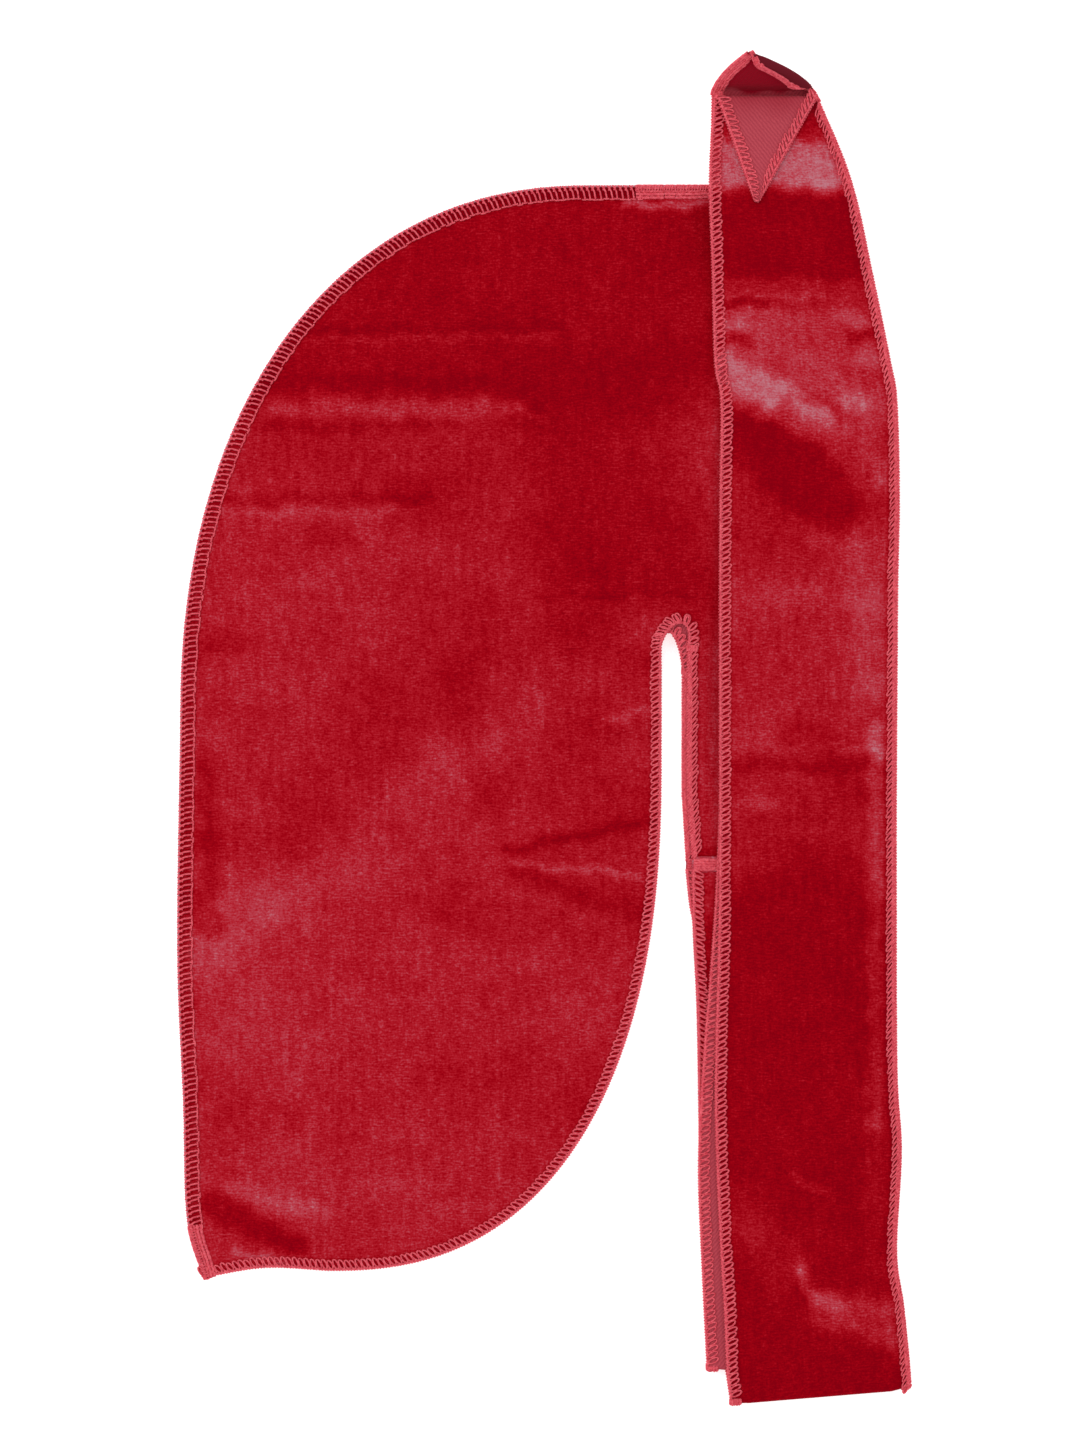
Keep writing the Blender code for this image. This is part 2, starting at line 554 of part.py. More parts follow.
def build():
    """Lay the durag from the surface up."""
    for old in list(bpy.data.objects):
        bpy.data.objects.remove(old, do_unlink=True)
    stack = Stack()
    far, near = panel_outline(LEFT_ROOT), panel_outline(RIGHT_ROOT)
    low, high = TIE_SEAM
    cloth_panel("left_panel", far, far_height, 0.0, (), VELVET_FAR)
    stack.add(inside(far, stack.x, stack.y), FLOOR_LAYER)
    tie_seam("left_tie_seam", LEFT_ROOT.corner_x, 0.0)
    root = Edge(0.0, LEFT_ROOT.corner_x, LEFT_ROOT.corner_x + STRAP_WIDTH)
    stack.add(run_mask(stack, [root], low, high), TIE_SEAM_THICK / 2, TIE_SEAM_THICK)
    far_tie = lay_far_tie_down(stack)
    near_tie, down_grid = lay_near_tie_down(stack)

    cloth_panel("right_panel", near, near_height, PANEL_STEP, PANEL_FOLDS, VELVET)
    bridged = run_mask(stack, [Edge(0.0, MOUTH.left, MOUTH.right)], MOUTH.y, SEAM_TOP_Y)
    stack.add(inside(near, stack.x, stack.y) | bridged, near_height(stack.x, stack.y))
    crown_seam()
    lip = inside(seam_path(), stack.x, stack.y) & (seam_distance(stack.x, stack.y) < SEAM_LIP)
    stack.add(lip, SEAM_HEIGHT - CLOTH / 2)
    seam_bottom = TIE_SEAM_THICK + GAP
    tie_seam("right_tie_seam", RIGHT_ROOT.corner_x, seam_bottom)
    root = Edge(0.0, RIGHT_ROOT.corner_x, RIGHT_ROOT.corner_x + STRAP_WIDTH)
    stack.add(run_mask(stack, [root], low, high), seam_bottom + TIE_SEAM_THICK / 2, TIE_SEAM_THICK)
    stack.add(run_mask(stack, RIGHT_DOWN, RIGHT_FOLD_Y, STRAP_START), down_grid)
    ribbon("right_strap", lay_near_tie_up(stack, near_tie, down_grid), VELVET)
    ribbon("left_strap", lay_far_tie_up(stack, far_tie), VELVET)
    centre_on_origin()


build()
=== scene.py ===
"""Looks of a velvet durag that lies folded flat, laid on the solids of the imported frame.

The cloth is laid again from the part's own sizes in finer steps: two halves of the cap and two
ties, each a thin wall with its pile on one side and its knitted reverse on the other. Geometry
Nodes sew the overlock stitches along the edges and seams. Shapes are worked out in millimetres,
X across, Y from the tail to the crown and Z up from the floor, and are turned to metres where a
mesh is made.
"""

import math
from collections import namedtuple

import bpy
import numpy as np
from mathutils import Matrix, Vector
from mathutils.geometry import delaunay_2d_cdt
from mathutils.kdtree import KDTree


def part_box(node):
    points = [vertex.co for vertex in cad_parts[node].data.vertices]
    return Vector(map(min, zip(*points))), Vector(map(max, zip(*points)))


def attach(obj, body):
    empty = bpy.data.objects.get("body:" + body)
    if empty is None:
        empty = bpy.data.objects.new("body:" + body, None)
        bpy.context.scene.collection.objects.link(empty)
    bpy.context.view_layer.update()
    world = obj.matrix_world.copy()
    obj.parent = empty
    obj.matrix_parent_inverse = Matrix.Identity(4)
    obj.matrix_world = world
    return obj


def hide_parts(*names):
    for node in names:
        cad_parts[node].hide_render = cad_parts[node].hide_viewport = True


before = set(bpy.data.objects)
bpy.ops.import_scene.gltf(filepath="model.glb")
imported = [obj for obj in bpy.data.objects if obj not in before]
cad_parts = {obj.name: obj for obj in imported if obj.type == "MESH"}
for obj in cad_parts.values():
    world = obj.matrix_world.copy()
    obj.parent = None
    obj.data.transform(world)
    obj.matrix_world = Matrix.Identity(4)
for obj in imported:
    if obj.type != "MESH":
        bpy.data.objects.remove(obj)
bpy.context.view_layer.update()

bl_info = {
    "name": "Velvet durag",
    "version": (1, 0, 0),
    "blender": (4, 5, 0),
    "location": "View3D > Sidebar > Durag",
    "description": "Cloth, pile, overlock stitches and stage of a durag that lies folded flat",
    "category": "Add Mesh",
}

BODY = "root"
MM = 0.001


def rows(kind, table):
    """A table whose columns have names."""
    return [kind(*row) for row in table]



# Cloth and layers, as in the part
CLOTH = 1.2
GAP = 0.5
LAYER = CLOTH + GAP
FLOOR_LAYER = CLOTH / 2
NEAR_LAYER = FLOOR_LAYER + LAYER

# Outline of the folded cap
Oval = namedtuple("Oval", "x y half_width half_height power")
CROWN = Oval(20.0, 3.7, 178.0, 232.2, 2.2)
TAIL = Oval(-92.9, -13.7, 143.7, 221.3, 2.4)
BACK_SEAM = [(-158.0, 3.7), (-159.3, -96.0), (-156.8, -161.0), (-155.2, -212.0), (-148.0, -238.0)]
TAIL_CORNER_HEM = [(-148.0, -238.0), (-121.0, -233.7), (-92.9, -235.0)]
FRONT_HEM = [(140.2, -55.8), (138.5, 50.6), (134.6, 150.0), (129.0, 235.9)]
NOTCH_LEFT = 50.8
ROOT_END = -55.8
# the far half's notch lies a little lower and leans the other way, so its hem shows in the near one's
Root = namedtuple("Root", "notch_right corner_x notch_shoulder notch_top notch_lean")
RIGHT_ROOT = Root(62.1, 64.2, 36.0, 45.8, -2.6)
LEFT_ROOT = Root(59.9, 61.6, 26.0, 42.0, 1.6)

# Puff of the near half
PUFF = 7.0
PUFF_FROM_SEAM = (10.0, 46.0)
PUFF_ALONG = (-25.0, 80.0)
WRINKLES_FROM_SEAM = 12.0
CLING = (16.0, 36.0)        # from the notch, where the halves cling together and where they part
MOUTH = namedtuple("Mouth", "left right y")(120.0, 158.0, 48.0)
SEAM_TOP_Y = CROWN.y + CROWN.half_height

# Crown seam and tie seams
SEAM_WALL = 0.8
SEAM_LIP = 5.4
SEAM_GAP = 0.3
SEAM_HEIGHT = NEAR_LAYER + CLOTH / 2 + SEAM_GAP + SEAM_WALL
SEAM_MIDDLE = 1.7           # height of the crown seam's cover and stitches
SEAM_HALF = 1.15            # half thickness of what the stitches go round
SEAM_COVER_FROM = 0.35      # from the seam's outer edge to its cover
SEAM_BULGE = (0.7, 0.8, 0.7, 0.4)   # of the cover, in rows from the inside out
SEAM_LEAN = -0.15
TIE_SEAM = (-61.7, -56.1)
TIE_SEAM_THICK = 1.5
TIE_SEAM_LAP = 0.7          # over the cloth on both sides
TIE_SEAM_ROWS = 7
TIE_SEAM_BULGE = 0.3
TIE_SEAM_INSET = 0.4        # of its stitches from its lower edge

# Ties
STRAP_WIDTH = 76.0
STRAP_START = -62.0
RIGHT_FOLD_Y = -278.0
LEFT_FOLD_Y = (-294.0, -286.6)
FOLD_RADIUS = 1.3
LEFT_FOLD_RADIUS = 2.9
TILT_ENDS = -224.0
TILT_LENGTH = 70.0
FOLD_SETTLE = 14.0
FOLD_STEPS = 10
LEFT_TIP_FOLD_Y = 274.3
LEFT_TIP_BASE = (75.5, 117.6)
LEFT_TIP_END = (92.0, 227.6)
RIGHT_TIP_Y = 276.5
RIGHT_TIP_END_X = 88.5
RIGHT_TIP_REACH = 15.0
RIGHT_TIP_RISE = 19.5       # and the roll's own height on top of it
TIP_BLUNT = 2.0
TIP_SETTLE = 0.15
TIP_ROWS = 22
TIP_STARTS_UP = 0.35        # how far the near tie's tip has turned up at its base
TIP_TURNS_UP = 0.3          # share of the tip after which it stands
ROLL_RADIUS = 1.7           # of the near tie's tip, whose right edge rolls forward
ROLL_TURN = math.radians(186)
ROLL_EDGE = 6.2             # flat width along the edge, after the turn
ROLL_FROM = (0.0, 0.25)     # share of the tip where the roll starts and is full
ROLL_MOST = 0.7             # share of the tip's width that can roll
ROLL_BULGE = 5.0
TIP_BULGE = 2.3             # of the left edge

Edge = namedtuple("Edge", "y left right")
RIGHT_DOWN = rows(Edge, (
    (-62, 64.2, 140.2), (-89, 64.7, 140.7), (-126, 66.4, 142.4), (-205, 67.7, 143.7), (-248, 69.4, 145.4),
    (-278, 70.7, 146.7)))
RIGHT_UP = rows(Edge, (
    (-278, 70.7, 146.7), (-232, 68.4, 144.4), (-188, 66.9, 143.1), (-140, 69.3, 145.2), (-108, 71.9, 147.9),
    (-63, 74.9, 150.9), (12, 77.3, 152), (99, 77.3, 152.3), (141, 76.8, 151.2), (158, 74.6, 148.9),
    (197, 73.3, 140.8), (238, 72.5, 131.7), (276.5, 72.9, 117.6)))
LEFT_DOWN = rows(Edge, (
    (-62, 61.6, 137.6), (-76, 63.1, 139.1), (-89, 65.3, 141.3), (-118, 67.6, 143.6), (-161, 68.7, 144.7),
    (-205, 70.4, 146.4), (-248, 74.6, 151), (-294, 81.2, 159.3)))
LEFT_UP = rows(Edge, (
    (-294, 81.2, 159.3), (-277, 79.2, 158), (-251, 78.1, 155.6), (-226, 76.5, 152.8), (-183, 74.6, 154.9),
    (-148, 74.2, 153), (-70, 75.9, 152.6), (50, 75.8, 152.8), (99, 76, 153.6), (141, 76.4, 152.6),
    (158, 73.8, 149.9), (197, 72.7, 141.9), (238, 71.6, 132.8), (274.3, 73.8, 118.5)))

# Wrinkles, as in the part
Fold = namedtuple("Fold", "x0 y0 x1 y1 width height bow")
FOLD_PAST = 0.05            # share of a fold's length by which it runs on past its ends
FOLD_FADE = 0.3             # and over which it dies away
PANEL_FOLDS = rows(Fold, (
    (-104, 178, 10, 181, 9, 1.6, 3), (-116, 141, -13, 141, 8, 2.4, 4), (-13, 141, 4, 132, 6, 1.6, 0),
    (-138, 98, -48, 99, 9, 1.5, 3), (-16, -58, 48, -77, 7, 1.9, -2), (-16, -52, 48, -36, 7, 1.4, 2),
    (24, -2, 48, 6, 6, 1.5, 1), (4, 52, 62, 57, 8, 1.2, 2), (-136, -40, -128, -84, 9, 1.4, 2),
    (-146, -196, -96, -222, 10, 1.6, 5), (-21, -162, -21, -206, 8, 1, 1)))
STRAP_FOLDS = rows(Fold, (
    (76, 183, 112, 180, 7, 1.2, 1), (80, 158, 116, 130, 8, 1.6, 2), (76, -8, 152, -10, 7, 1.2, 2),
    (84, -38, 140, -32, 8, 1, 2), (106, -196, 126, -204, 7, 1.2, 0), (112, -228, 154, -262, 10, 1.8, 8)))

# Where the pile is brushed, and where shade and highlights are painted beside folds, bends and tips: a
# flat-topped stroke from one point to another, with its half width, the width of its soft edge, and how much
# lighter (or darker, below 0) the pile looks there
Stroke = namedtuple("Stroke", "x0 y0 x1 y1 width soft amount")
NAP_LEAST = 0.10
NAP_WANDER = 0.8            # how far the strokes' edges stray, in waves across and along
WANDER_ACROSS = ((0.29, 0.37, 0.0), (0.13, -0.41, 1.0))
WANDER_ALONG = ((0.43, -0.11, 0.0), (0.19, 0.23, 2.0))
SEWN_SHADE = 0.20           # painted shade on the cloth between the threads of an edge
SEWN_BEFORE = 1.0           # where it starts to fade, before the needle line
SEWN_FADE = 1.5
PANEL_NAP_BASE = 0.48
PANEL_NAP_AND_SHADE = rows(Stroke, (
    (-104, 198, 42, 198, 62, 34, -0.27), (-110, 116, -40, 112, 14, 20, -0.11),
    (14, 122, 44, 66, 36, 44, -0.22), (8, 60, 26, -60, 26, 44, -0.10), (-98, -36, -36, 40, 20, 30, -0.12),
    (-136, -48, -112, -52, 8, 14, -0.10), (-136, -80, -118, -150, 22, 34, 0.08),
    (-134, -163, -112, -168, 8, 12, -0.14), (-110, -185, -60, -204, 10, 20, 0.06),
    (-36, -76, -10, -84, 10, 16, -0.10), (-40, -150, 10, -160, 20, 26, -0.07),
    (-150, -96, -84, -54, 11, 20, 0.12), (-78, -36, -20, -8, 10, 20, 0.10), (-20, -2, 46, 46, 10, 20, 0.08),
    (16, 54, 44, 44, 8, 12, 0.10), (-102, 172.5, 7, 174, 1.6, 3, -0.16), (-102, 168, 7, 170, 1.6, 3, 0.14),
    (-116, 150, -14, 149, 3, 4, -0.18), (-118, 139, -13, 138.5, 3.8, 6, 0.24),
    (-13, 139.5, 0.5, 134, 1.2, 2.5, 0.24), (-124, 130, -40, 131, 2.4, 5, -0.12),
    (-140, 99, -52, 99.5, 2.5, 5, -0.16), (-140, 93, -52, 94, 1.8, 4, 0.14),
    (-147, 36.5, -125, 37, 3, 6, -0.14), (-146, -13, -144, -71, 3.5, 7, -0.22),
    (-15.6, -53, 44.7, -40, 2, 4, -0.28), (-14, -58.4, 43, -64, 1.4, 3, 0.26),
    (-14, -62, 43, -79, 4, 8, -0.16), (-1, 57, 65, 58.5, 0.8, 2.4, -0.18),
    (26.5, 3.7, 44.7, 7.6, 1.4, 3, 0.24), (-144, -207, -107, -224, 5, 7, -0.34),
    (-134, -199, -93, -211, 4, 7, 0.16), (-133, -227, -111, -231, 2, 3, 0.30),
    (-60, 97, -28, 84, 9, 16, -0.13), (-97, 82, -80, 80, 4, 10, -0.14), (-36, 20, -24, -28, 9, 16, -0.13),
    (14, 10, 28, -4, 6, 12, -0.06), (-153, -73, -143, -88, 5, 8, -0.22), (-14, 12, -14, -20, 4, 8, -0.10),
    (36, 227.2, 72, 227.8, 2.2, 3.6, 0.48), (-153, -168, -151, -202, 4, 8, 0.12),
    (-20, -161, -20, -196, 0.8, 2.4, 0.14)))
TIE_NAP_BASE = 0.46
TIE_NAP_AND_SHADE = rows(Stroke, (
    (74, 288, 122, 284, 10, 4, -0.50), (75, 176, 86, 175, 2.6, 4, 0.20), (74, 268, 124, 268, 9, 8, -0.22),
    (74, 244.5, 134, 244.5, 10, 3, 0.32), (108, 242, 132, 238, 7, 8, 0.08),
    (120, 234, 140, 230, 3, 5, 0.18), (74, 214, 146, 212, 18, 6, -0.40), (74, 196, 148, 194, 7, 8, -0.08),
    (74, 172, 150, 167, 12, 8, 0.12), (79, 187.5, 120, 186, 0.9, 2, 0.18),
    (79, 184, 98, 183.5, 1.8, 3, -0.24), (79, 184, 118, 182, 1.4, 3, -0.12),
    (74, 168, 89, 168, 3, 5, -0.30), (133, 169, 150, 170, 2.6, 5, -0.30), (76, 156, 98, 147, 7.5, 7, 0.18),
    (76, 156, 117, 135.5, 6.5, 7, 0.22), (112, 141, 128, 127, 4, 8, 0.16),
    (108, 152, 146, 138, 8, 14, 0.14), (74, 134, 96, 126.5, 6.5, 3, -0.40),
    (96, 126.5, 114, 117, 6.5, 3.5, -0.40), (114, 117, 126, 108, 5, 6, -0.26),
    (80, 123, 110, 107, 9, 14, -0.30), (106, 112, 128, 98, 11, 16, -0.28),
    (102, 106, 124, 94, 10, 18, -0.12), (80, 92, 118, 84, 12, 16, -0.08), (119, 82, 138, 79, 3, 6, 0.14),
    (138, 124, 146, 108, 4, 8, 0.14), (89, 108, 92, 106, 3, 6, 0.12), (138, 68, 141, 18, 8, 12, 0.15),
    (80, 59, 150, 55, 5, 9, 0.09), (79, -1, 98, -3, 3, 6, 0.10), (80, -8, 150, -8.5, 1.4, 3, 0.14),
    (108, -2, 140, -24, 8, 12, -0.12), (80, -16, 150, -17, 3, 5, -0.20), (82, -40, 146, -42, 16, 12, -0.12),
    (82, -33, 106, -32, 4, 8, 0.12), (113, -98, 113, -246, 44, 22, -0.32),
    (143.5, 0, 144, -170, 3.4, 5, 0.26), (143, -172, 143, -232, 5, 8, 0.13),
    (107, -193.5, 124.5, -204, 0.9, 2.4, 0.34), (83, -208, 104, -236, 9, 14, 0.20),
    (109.5, -220, 111.5, -236, 1.8, 4, 0.22), (111.5, -236, 117, -247, 3, 5, 0.32),
    (118, -247, 128, -251, 5, 6, 0.18), (126, -253, 156, -258, 9.5, 8, 0.34),
    (78, 143, 98, 141, 2, 5, 0.14), (129, 178, 136, 176, 3, 5, 0.16), (137, 161, 143, 159, 3, 6, 0.16),
    (114, 143, 124, 140, 3, 5, -0.20), (130, 142, 137, 139, 3, 5, 0.20), (90, -31, 97, -31, 3, 5, 0.12),
    (83, -282, 157, -286, 12, 8, -0.50)))
# painted shade over the near tie's curled tip, and fading down the far tie's folded tip from its top fold
TIP_SHADE = rows(Stroke, (
    (70, 290, 122, 288, 12, 3, -1), (70, 274, 122, 274, 3, 20, -0.65)))

# Unevenness of the pile, by size across and along in mm, detail and strength: brushed clouds,
# streaks, mottles, rows of the knit that show through, and tufts
PILE_NOISES = ((34.0, 24.0, 3.0, 0.24), (2.4, 18.0, 2.0, 0.24), (7.0, 5.0, 3.0, 0.26),
               (3.0, 0.70, 1.0, 0.50), (0.9, 0.9, 1.0, 0.50))
PILE_STOPS = ((0.0, "pile_deep"), (0.28, "pile_dark"), (0.52, "pile"), (0.75, "pile_brushed"),
              (1.0, "pile_light"))
RIB_TURN = math.radians(42)

# Fineness of the laid cloth
CELL = 1.0
REACH = 9.0
MARGIN = 5.0
MAP_X = np.arange(-176.0, 177.0, CELL)
MAP_Y = np.arange(-316.0, 317.0, CELL)
EDGE_STEP = 2.0             # between points along an edge
NEAR_STEP = 2.1             # between points of the near half, which shows
FAR_STEP = 5.0
ROW_STEP = 2.2              # between rows of a tie
COLUMNS = 38                # faces across a tie
NOTCH_PARTS = 24
POINT_CLEAR = 0.6           # least distance of a point from the edge, in steps

# The cloth's edge, pressed thin by its stitches
PRESSED = 0.3               # half thickness under the stitches
PRESS_END = 3.0             # length over which the pile comes up beside them
FLOOR_EDGE = 1.0            # middle height of a pressed edge that lies on the floor
TIP_UNSEWN = 1              # rows at the point of a tip that the last stitch overlaps
STEEP = 0.35                # rise of an edge from which its stitches lie flat
# width of the stitches as shares of a left edge's: on the hems, the right edges and the rolled tip
HEM_SHARE = 0.92
RIGHT_SHARE = 0.86
ROLLED_SHARE = 0.6

# Overlock stitch, in pitches along the edge, widths inwards and half thicknesses up, with the
# thread's thickness as a share of the usual one
Strand = namedtuple("Strand", "thickness points")


def mirrored(thickness, half, middle=()):
    """A strand that comes back as the mirror image of its first half."""
    return Strand(thickness, [*half, *middle, *[(-x, y, z) for x, y, z in reversed(half)]])


UNDERSIDE = [
    mirrored(1.1, [(-0.40, 0.24, -0.90), (-0.38, 0.60, -1), (-0.22, 0.91, -1)], [(0, 0.98, -1)]),
    mirrored(1.5, [(-0.5, 0.14, -0.80)])]
LOOPS = [
    mirrored(1.05, [(-0.10, 0.17, 0.80), (-0.32, 0.28, 1), (-0.41, 0.46, 1), (-0.40, 0.72, 1),
                    (-0.24, 0.93, 1)], [(0, 1, 0.95)]),
    mirrored(1.4, [(-0.5, 0.12, 0.75)], [(0, 0.09, 0.85)]),
    Strand(0.9, [(-0.34, 0.26, 1.10), (-0.27, 0.06, 1.15), (-0.24, -0.03, 0), (-0.20, 0.08, -0.95),
                 (-0.10, 0.30, -0.95)]),
    Strand(0.9, [(0.16, 0.20, 1.10), (0.23, 0.04, 1.15), (0.26, -0.03, 0), (0.30, 0.08, -0.95),
                 (0.40, 0.30, -0.95)]), *UNDERSIDE]
# The same on the right edges, where the loops lie low and closer to the edge's own direction
CORDS = [
    mirrored(1, [(-0.26, 0.40, 0.85), (-0.39, 0.58, 1), (-0.38, 0.80, 1), (-0.22, 0.95, 1)], [(0, 1, 0.95)]),
    Strand(1.5, [(-0.10, 0.46, 0.85), (0.02, 0.24, 0.95), (0.05, 0.04, 0.6), (0, 0, -0.3)]),
    Strand(1.5, [(0.40, 0.46, 0.85), (0.52, 0.24, 0.95), (0.55, 0.04, 0.6), (0.5, 0, -0.3)]), *UNDERSIDE]
# on the crown seam, where the threads lie as bars between the edge and the needle line
BARS = [
    Strand(1.05, [(0, 0.97, 0.95), (-0.08, 0.88, 1.05), (0, 0.66, 1.10), (0.05, 0.46, 1.10),
                  (0.30, 0.24, 1.05), (0.58, 0.06, 0.8), (0.70, -0.01, 0), (0.75, 0.15, -0.95)]),
    Strand(1, [(0.48, 0.36, 0.90), (0.24, 0.14, 0.95), (0.10, 0, 0.3), (0.10, 0.05, -0.8)]),
    mirrored(0.9, [(-0.5, 0.97, 0.95), (-0.2, 1, 0.95)]),
    mirrored(1.4, [(-0.5, 0.06, 0.20)], [(0, 0.08, 0.25)]),
    mirrored(1, [(-0.5, 0.10, -0.7)], [(0, 0.06, -0.8)])]
# and where the chain was pulled flat along the edge
PULLED_FLAT = [
    mirrored(1.9, [(-0.54, 0.05, 0.2)], [(0, 0.03, 0.3)]),
    mirrored(1.9, [(-0.54, 0.21, 0.70)], [(0, 0.18, 0.80)]),
    mirrored(1.8, [(-0.54, 0.39, 0.70)], [(0, 0.41, 0.75)]),
    mirrored(2, [(-0.54, 0.62, 0.85)], [(0, 0.60, 0.90)]),
    mirrored(1.9, [(-0.54, 0.82, 0.70)], [(0, 0.86, 0.80)]),
    Strand(0.8, [(-0.1, 0.04, 1.15), (0.05, 0.22, 1.30), (0.1, 0.42, 1.15)]),
    Strand(0.8, [(0.35, 0.04, 1.15), (0.50, 0.22, 1.30), (0.55, 0.42, 1.15)]),
    *[Strand(1.8, [(-0.54, start, -0.8), (0.54, end, -0.8)])
      for start, end in ((0.12, 0.14), (0.34, 0.33), (0.56, 0.57), (0.80, 0.78))],
    Strand(0.8, [(0.1, 0.06, -1.2), (0.2, 0.45, -1.25), (0.25, 0.80, -1.2)])]
SEAM_FLAT_X = 42.0          # the crown seam's stitches are pulled flat in front of this
SEAM_FLAT_Y = -216.0        # and below this, at the tail's corner
THREAD_LOWEST = 0.1         # above the floor
SEAM_INPUTS = {
    "Guide": "Geometry", "Pattern": "Object", "Flat Pattern": "Object", "Slanted Pattern": "Object",
    "Pitch": "Float", "Width": "Float", "Half Thickness": "Float", "Thread Radius": "Float",
    "Unevenness": "Float", "Seed": "Int", "Thread": "Material"}

# Stage
FLOOR_SIZE = 3.0
LAMP_SIZE = 1.2
# name, place and how many times weaker than the key light
LAMPS = (("key", (-1.4, 1.0, 1.9), 1), ("fill", (1.6, -0.9, 1.8), 3))


def linear(hex_colour):
    """Linear colour of an sRGB hex value."""
    channels = [int(hex_colour[k:k + 2], 16) / 255 for k in (1, 3, 5)]
    return tuple(c / 12.92 if c <= 0.04045 else ((c + 0.055) / 1.055) ** 2.4 for c in channels)


# Curves and outlines

def smooth(t):
    """Ramp from 0 to 1 with soft ends."""
    t = np.clip(t, 0.0, 1.0)
    return t * t * (3.0 - 2.0 * t)


def resample(points, step):
    """Points at an even spacing along a polyline, its two ends kept."""
    points = np.array(points, float)
    lengths = np.linalg.norm(np.diff(points, axis=0), axis=1)
    along = np.concatenate([[0.0], np.cumsum(lengths)])
    places = np.linspace(0.0, along[-1], max(2, round(along[-1] / step) + 1))
    return np.column_stack([np.interp(places, along, column) for column in points.T])


def soft_curve(knots, parts=10):
    """A smooth curve through a few knots."""
    knots = np.array(knots, float)
    padded = np.vstack([2 * knots[0] - knots[1], knots, 2 * knots[-1] - knots[-2]])
    points = [knots[0]]
    for a, b, c, d in zip(padded, padded[1:], padded[2:], padded[3:]):
        for t in np.arange(1, parts + 1) / parts:
            points.append(0.5 * (2 * b + (c - a) * t + (2 * a - 5 * b + 4 * c - d) * t * t
                                 + (3 * b - a - 3 * c + d) * t ** 3))
    return np.array(points)


def oval_arc(oval, start, end, parts=96):
    """A stretch of a superellipse between two angles in degrees."""
    angle = np.radians(np.linspace(start, end, parts + 1))
    c, s = np.cos(angle), np.sin(angle)
    x = oval.x + oval.half_width * np.copysign(np.abs(c) ** (2 / oval.power), c)
    y = oval.y + oval.half_height * np.copysign(np.abs(s) ** (2 / oval.power), s)
    return np.column_stack([x, y])


def seam_path():
    """Outer edge of the crown seam, from the front hem over the crown to the tail's corner."""
    front = [(FRONT_HEM[-1][0], SEAM_TOP_Y)]
    return resample(np.vstack([front, oval_arc(CROWN, 90, 180), soft_curve(BACK_SEAM)]), EDGE_STEP)


def inward(path):
    """Unit normals on the left of a path, which runs round the cap against the clock."""
    tangents = np.gradient(path, axis=0)
    tangents /= np.linalg.norm(tangents, axis=1)[:, None]
    return np.column_stack([-tangents[:, 1], tangents[:, 0]])


def panel_sides(root):
    """Edge of one half of the cap: its crown seam, hem with notch, root's end and front hem."""
    path = seam_path()
    seam_edge = path + (SEAM_WALL + SEAM_GAP) * inward(path)
    tail = np.vstack([soft_curve(TAIL_CORNER_HEM)[1:], oval_arc(TAIL, 270, 360)[1:]])
    middle = (NOTCH_LEFT + root.notch_right) / 2
    rise = root.notch_top - root.notch_shoulder
    round_top = Oval(middle, root.notch_shoulder, root.notch_right - middle, rise, 2)
    arch = oval_arc(round_top, 180, 0, NOTCH_PARTS)
    arch[:, 0] -= root.notch_lean * (arch[:, 1] - root.notch_shoulder) / rise
    corner = (root.corner_x, ROOT_END)
    hem = np.vstack([seam_edge[-1:], tail, arch, [(root.notch_right, ROOT_END / 2), corner]])
    front = soft_curve(FRONT_HEM)
    shoulder = RIGHT_ROOT.notch_shoulder
    front[:, 0] += (root.corner_x - RIGHT_ROOT.corner_x) * smooth((shoulder - front[:, 1]) / shoulder)
    front[-1] = seam_edge[0]
    return [seam_edge] + [resample(side, EDGE_STEP) for side in (hem, [corner, front[0]], front)]


def panel_outline(root):
    """Closed outline of one half of the cap."""
    return np.vstack([side[:-1] for side in panel_sides(root)])


def inside(outline, x, y):
    """Which points lie inside a closed outline."""
    result = np.zeros(np.broadcast(x, y).shape, bool)
    for (x0, y0), (x1, y1) in zip(outline, np.roll(outline, -1, axis=0)):
        if y0 != y1:
            crosses = (y0 > y) != (y1 > y)
            result ^= crosses & (x < x0 + (y - y0) * (x1 - x0) / (y1 - y0))
    return result


def edge_distance(outline, points):
    """Distance of each point from a closed outline."""
    dense = resample(np.vstack([outline, outline[:1]]), EDGE_STEP / 3)
    tree = KDTree(len(dense))
    for number, (x, y) in enumerate(dense):
        tree.insert((x, y, 0.0), number)
    tree.balance()
    return np.array([tree.find((x, y, 0.0))[2] for x, y in points])


# Heights

def seam_distance(x, y):
    """Rough distance from a point of the cap to its crown seam, from the crown's own formula."""
    across = np.clip(CROWN.x - x, 0.0, None) / CROWN.half_width
    up = np.clip(y - CROWN.y, 0.0, None) / CROWN.half_height
    level = (across ** CROWN.power + up ** CROWN.power) ** (1 / CROWN.power)
    return (1.0 - level) * (CROWN.half_width + CROWN.half_height) / 2


def fold_height(x, y, folds):
    """Height that a table of wrinkles adds at a point."""
    total = np.zeros(np.broadcast(x, y).shape)
    for fold in folds:
        dx, dy = fold.x1 - fold.x0, fold.y1 - fold.y0
        length = math.hypot(dx, dy)
        t = ((x - fold.x0) * dx + (y - fold.y0) * dy) / length ** 2
        side = ((y - fold.y0) * dx - (x - fold.x0) * dy) / length
        side = side - fold.bow * 4 * t * (1 - t)
        ends = smooth((t + FOLD_PAST) / FOLD_FADE) * smooth((1 + FOLD_PAST - t) / FOLD_FADE)
        total += fold.height * np.exp(-(side / fold.width) ** 2) * ends
    return total


def ramp(value, ends):
    """Soft ramp from 0 to 1 between two values."""
    return smooth((value - ends[0]) / (ends[1] - ends[0]))


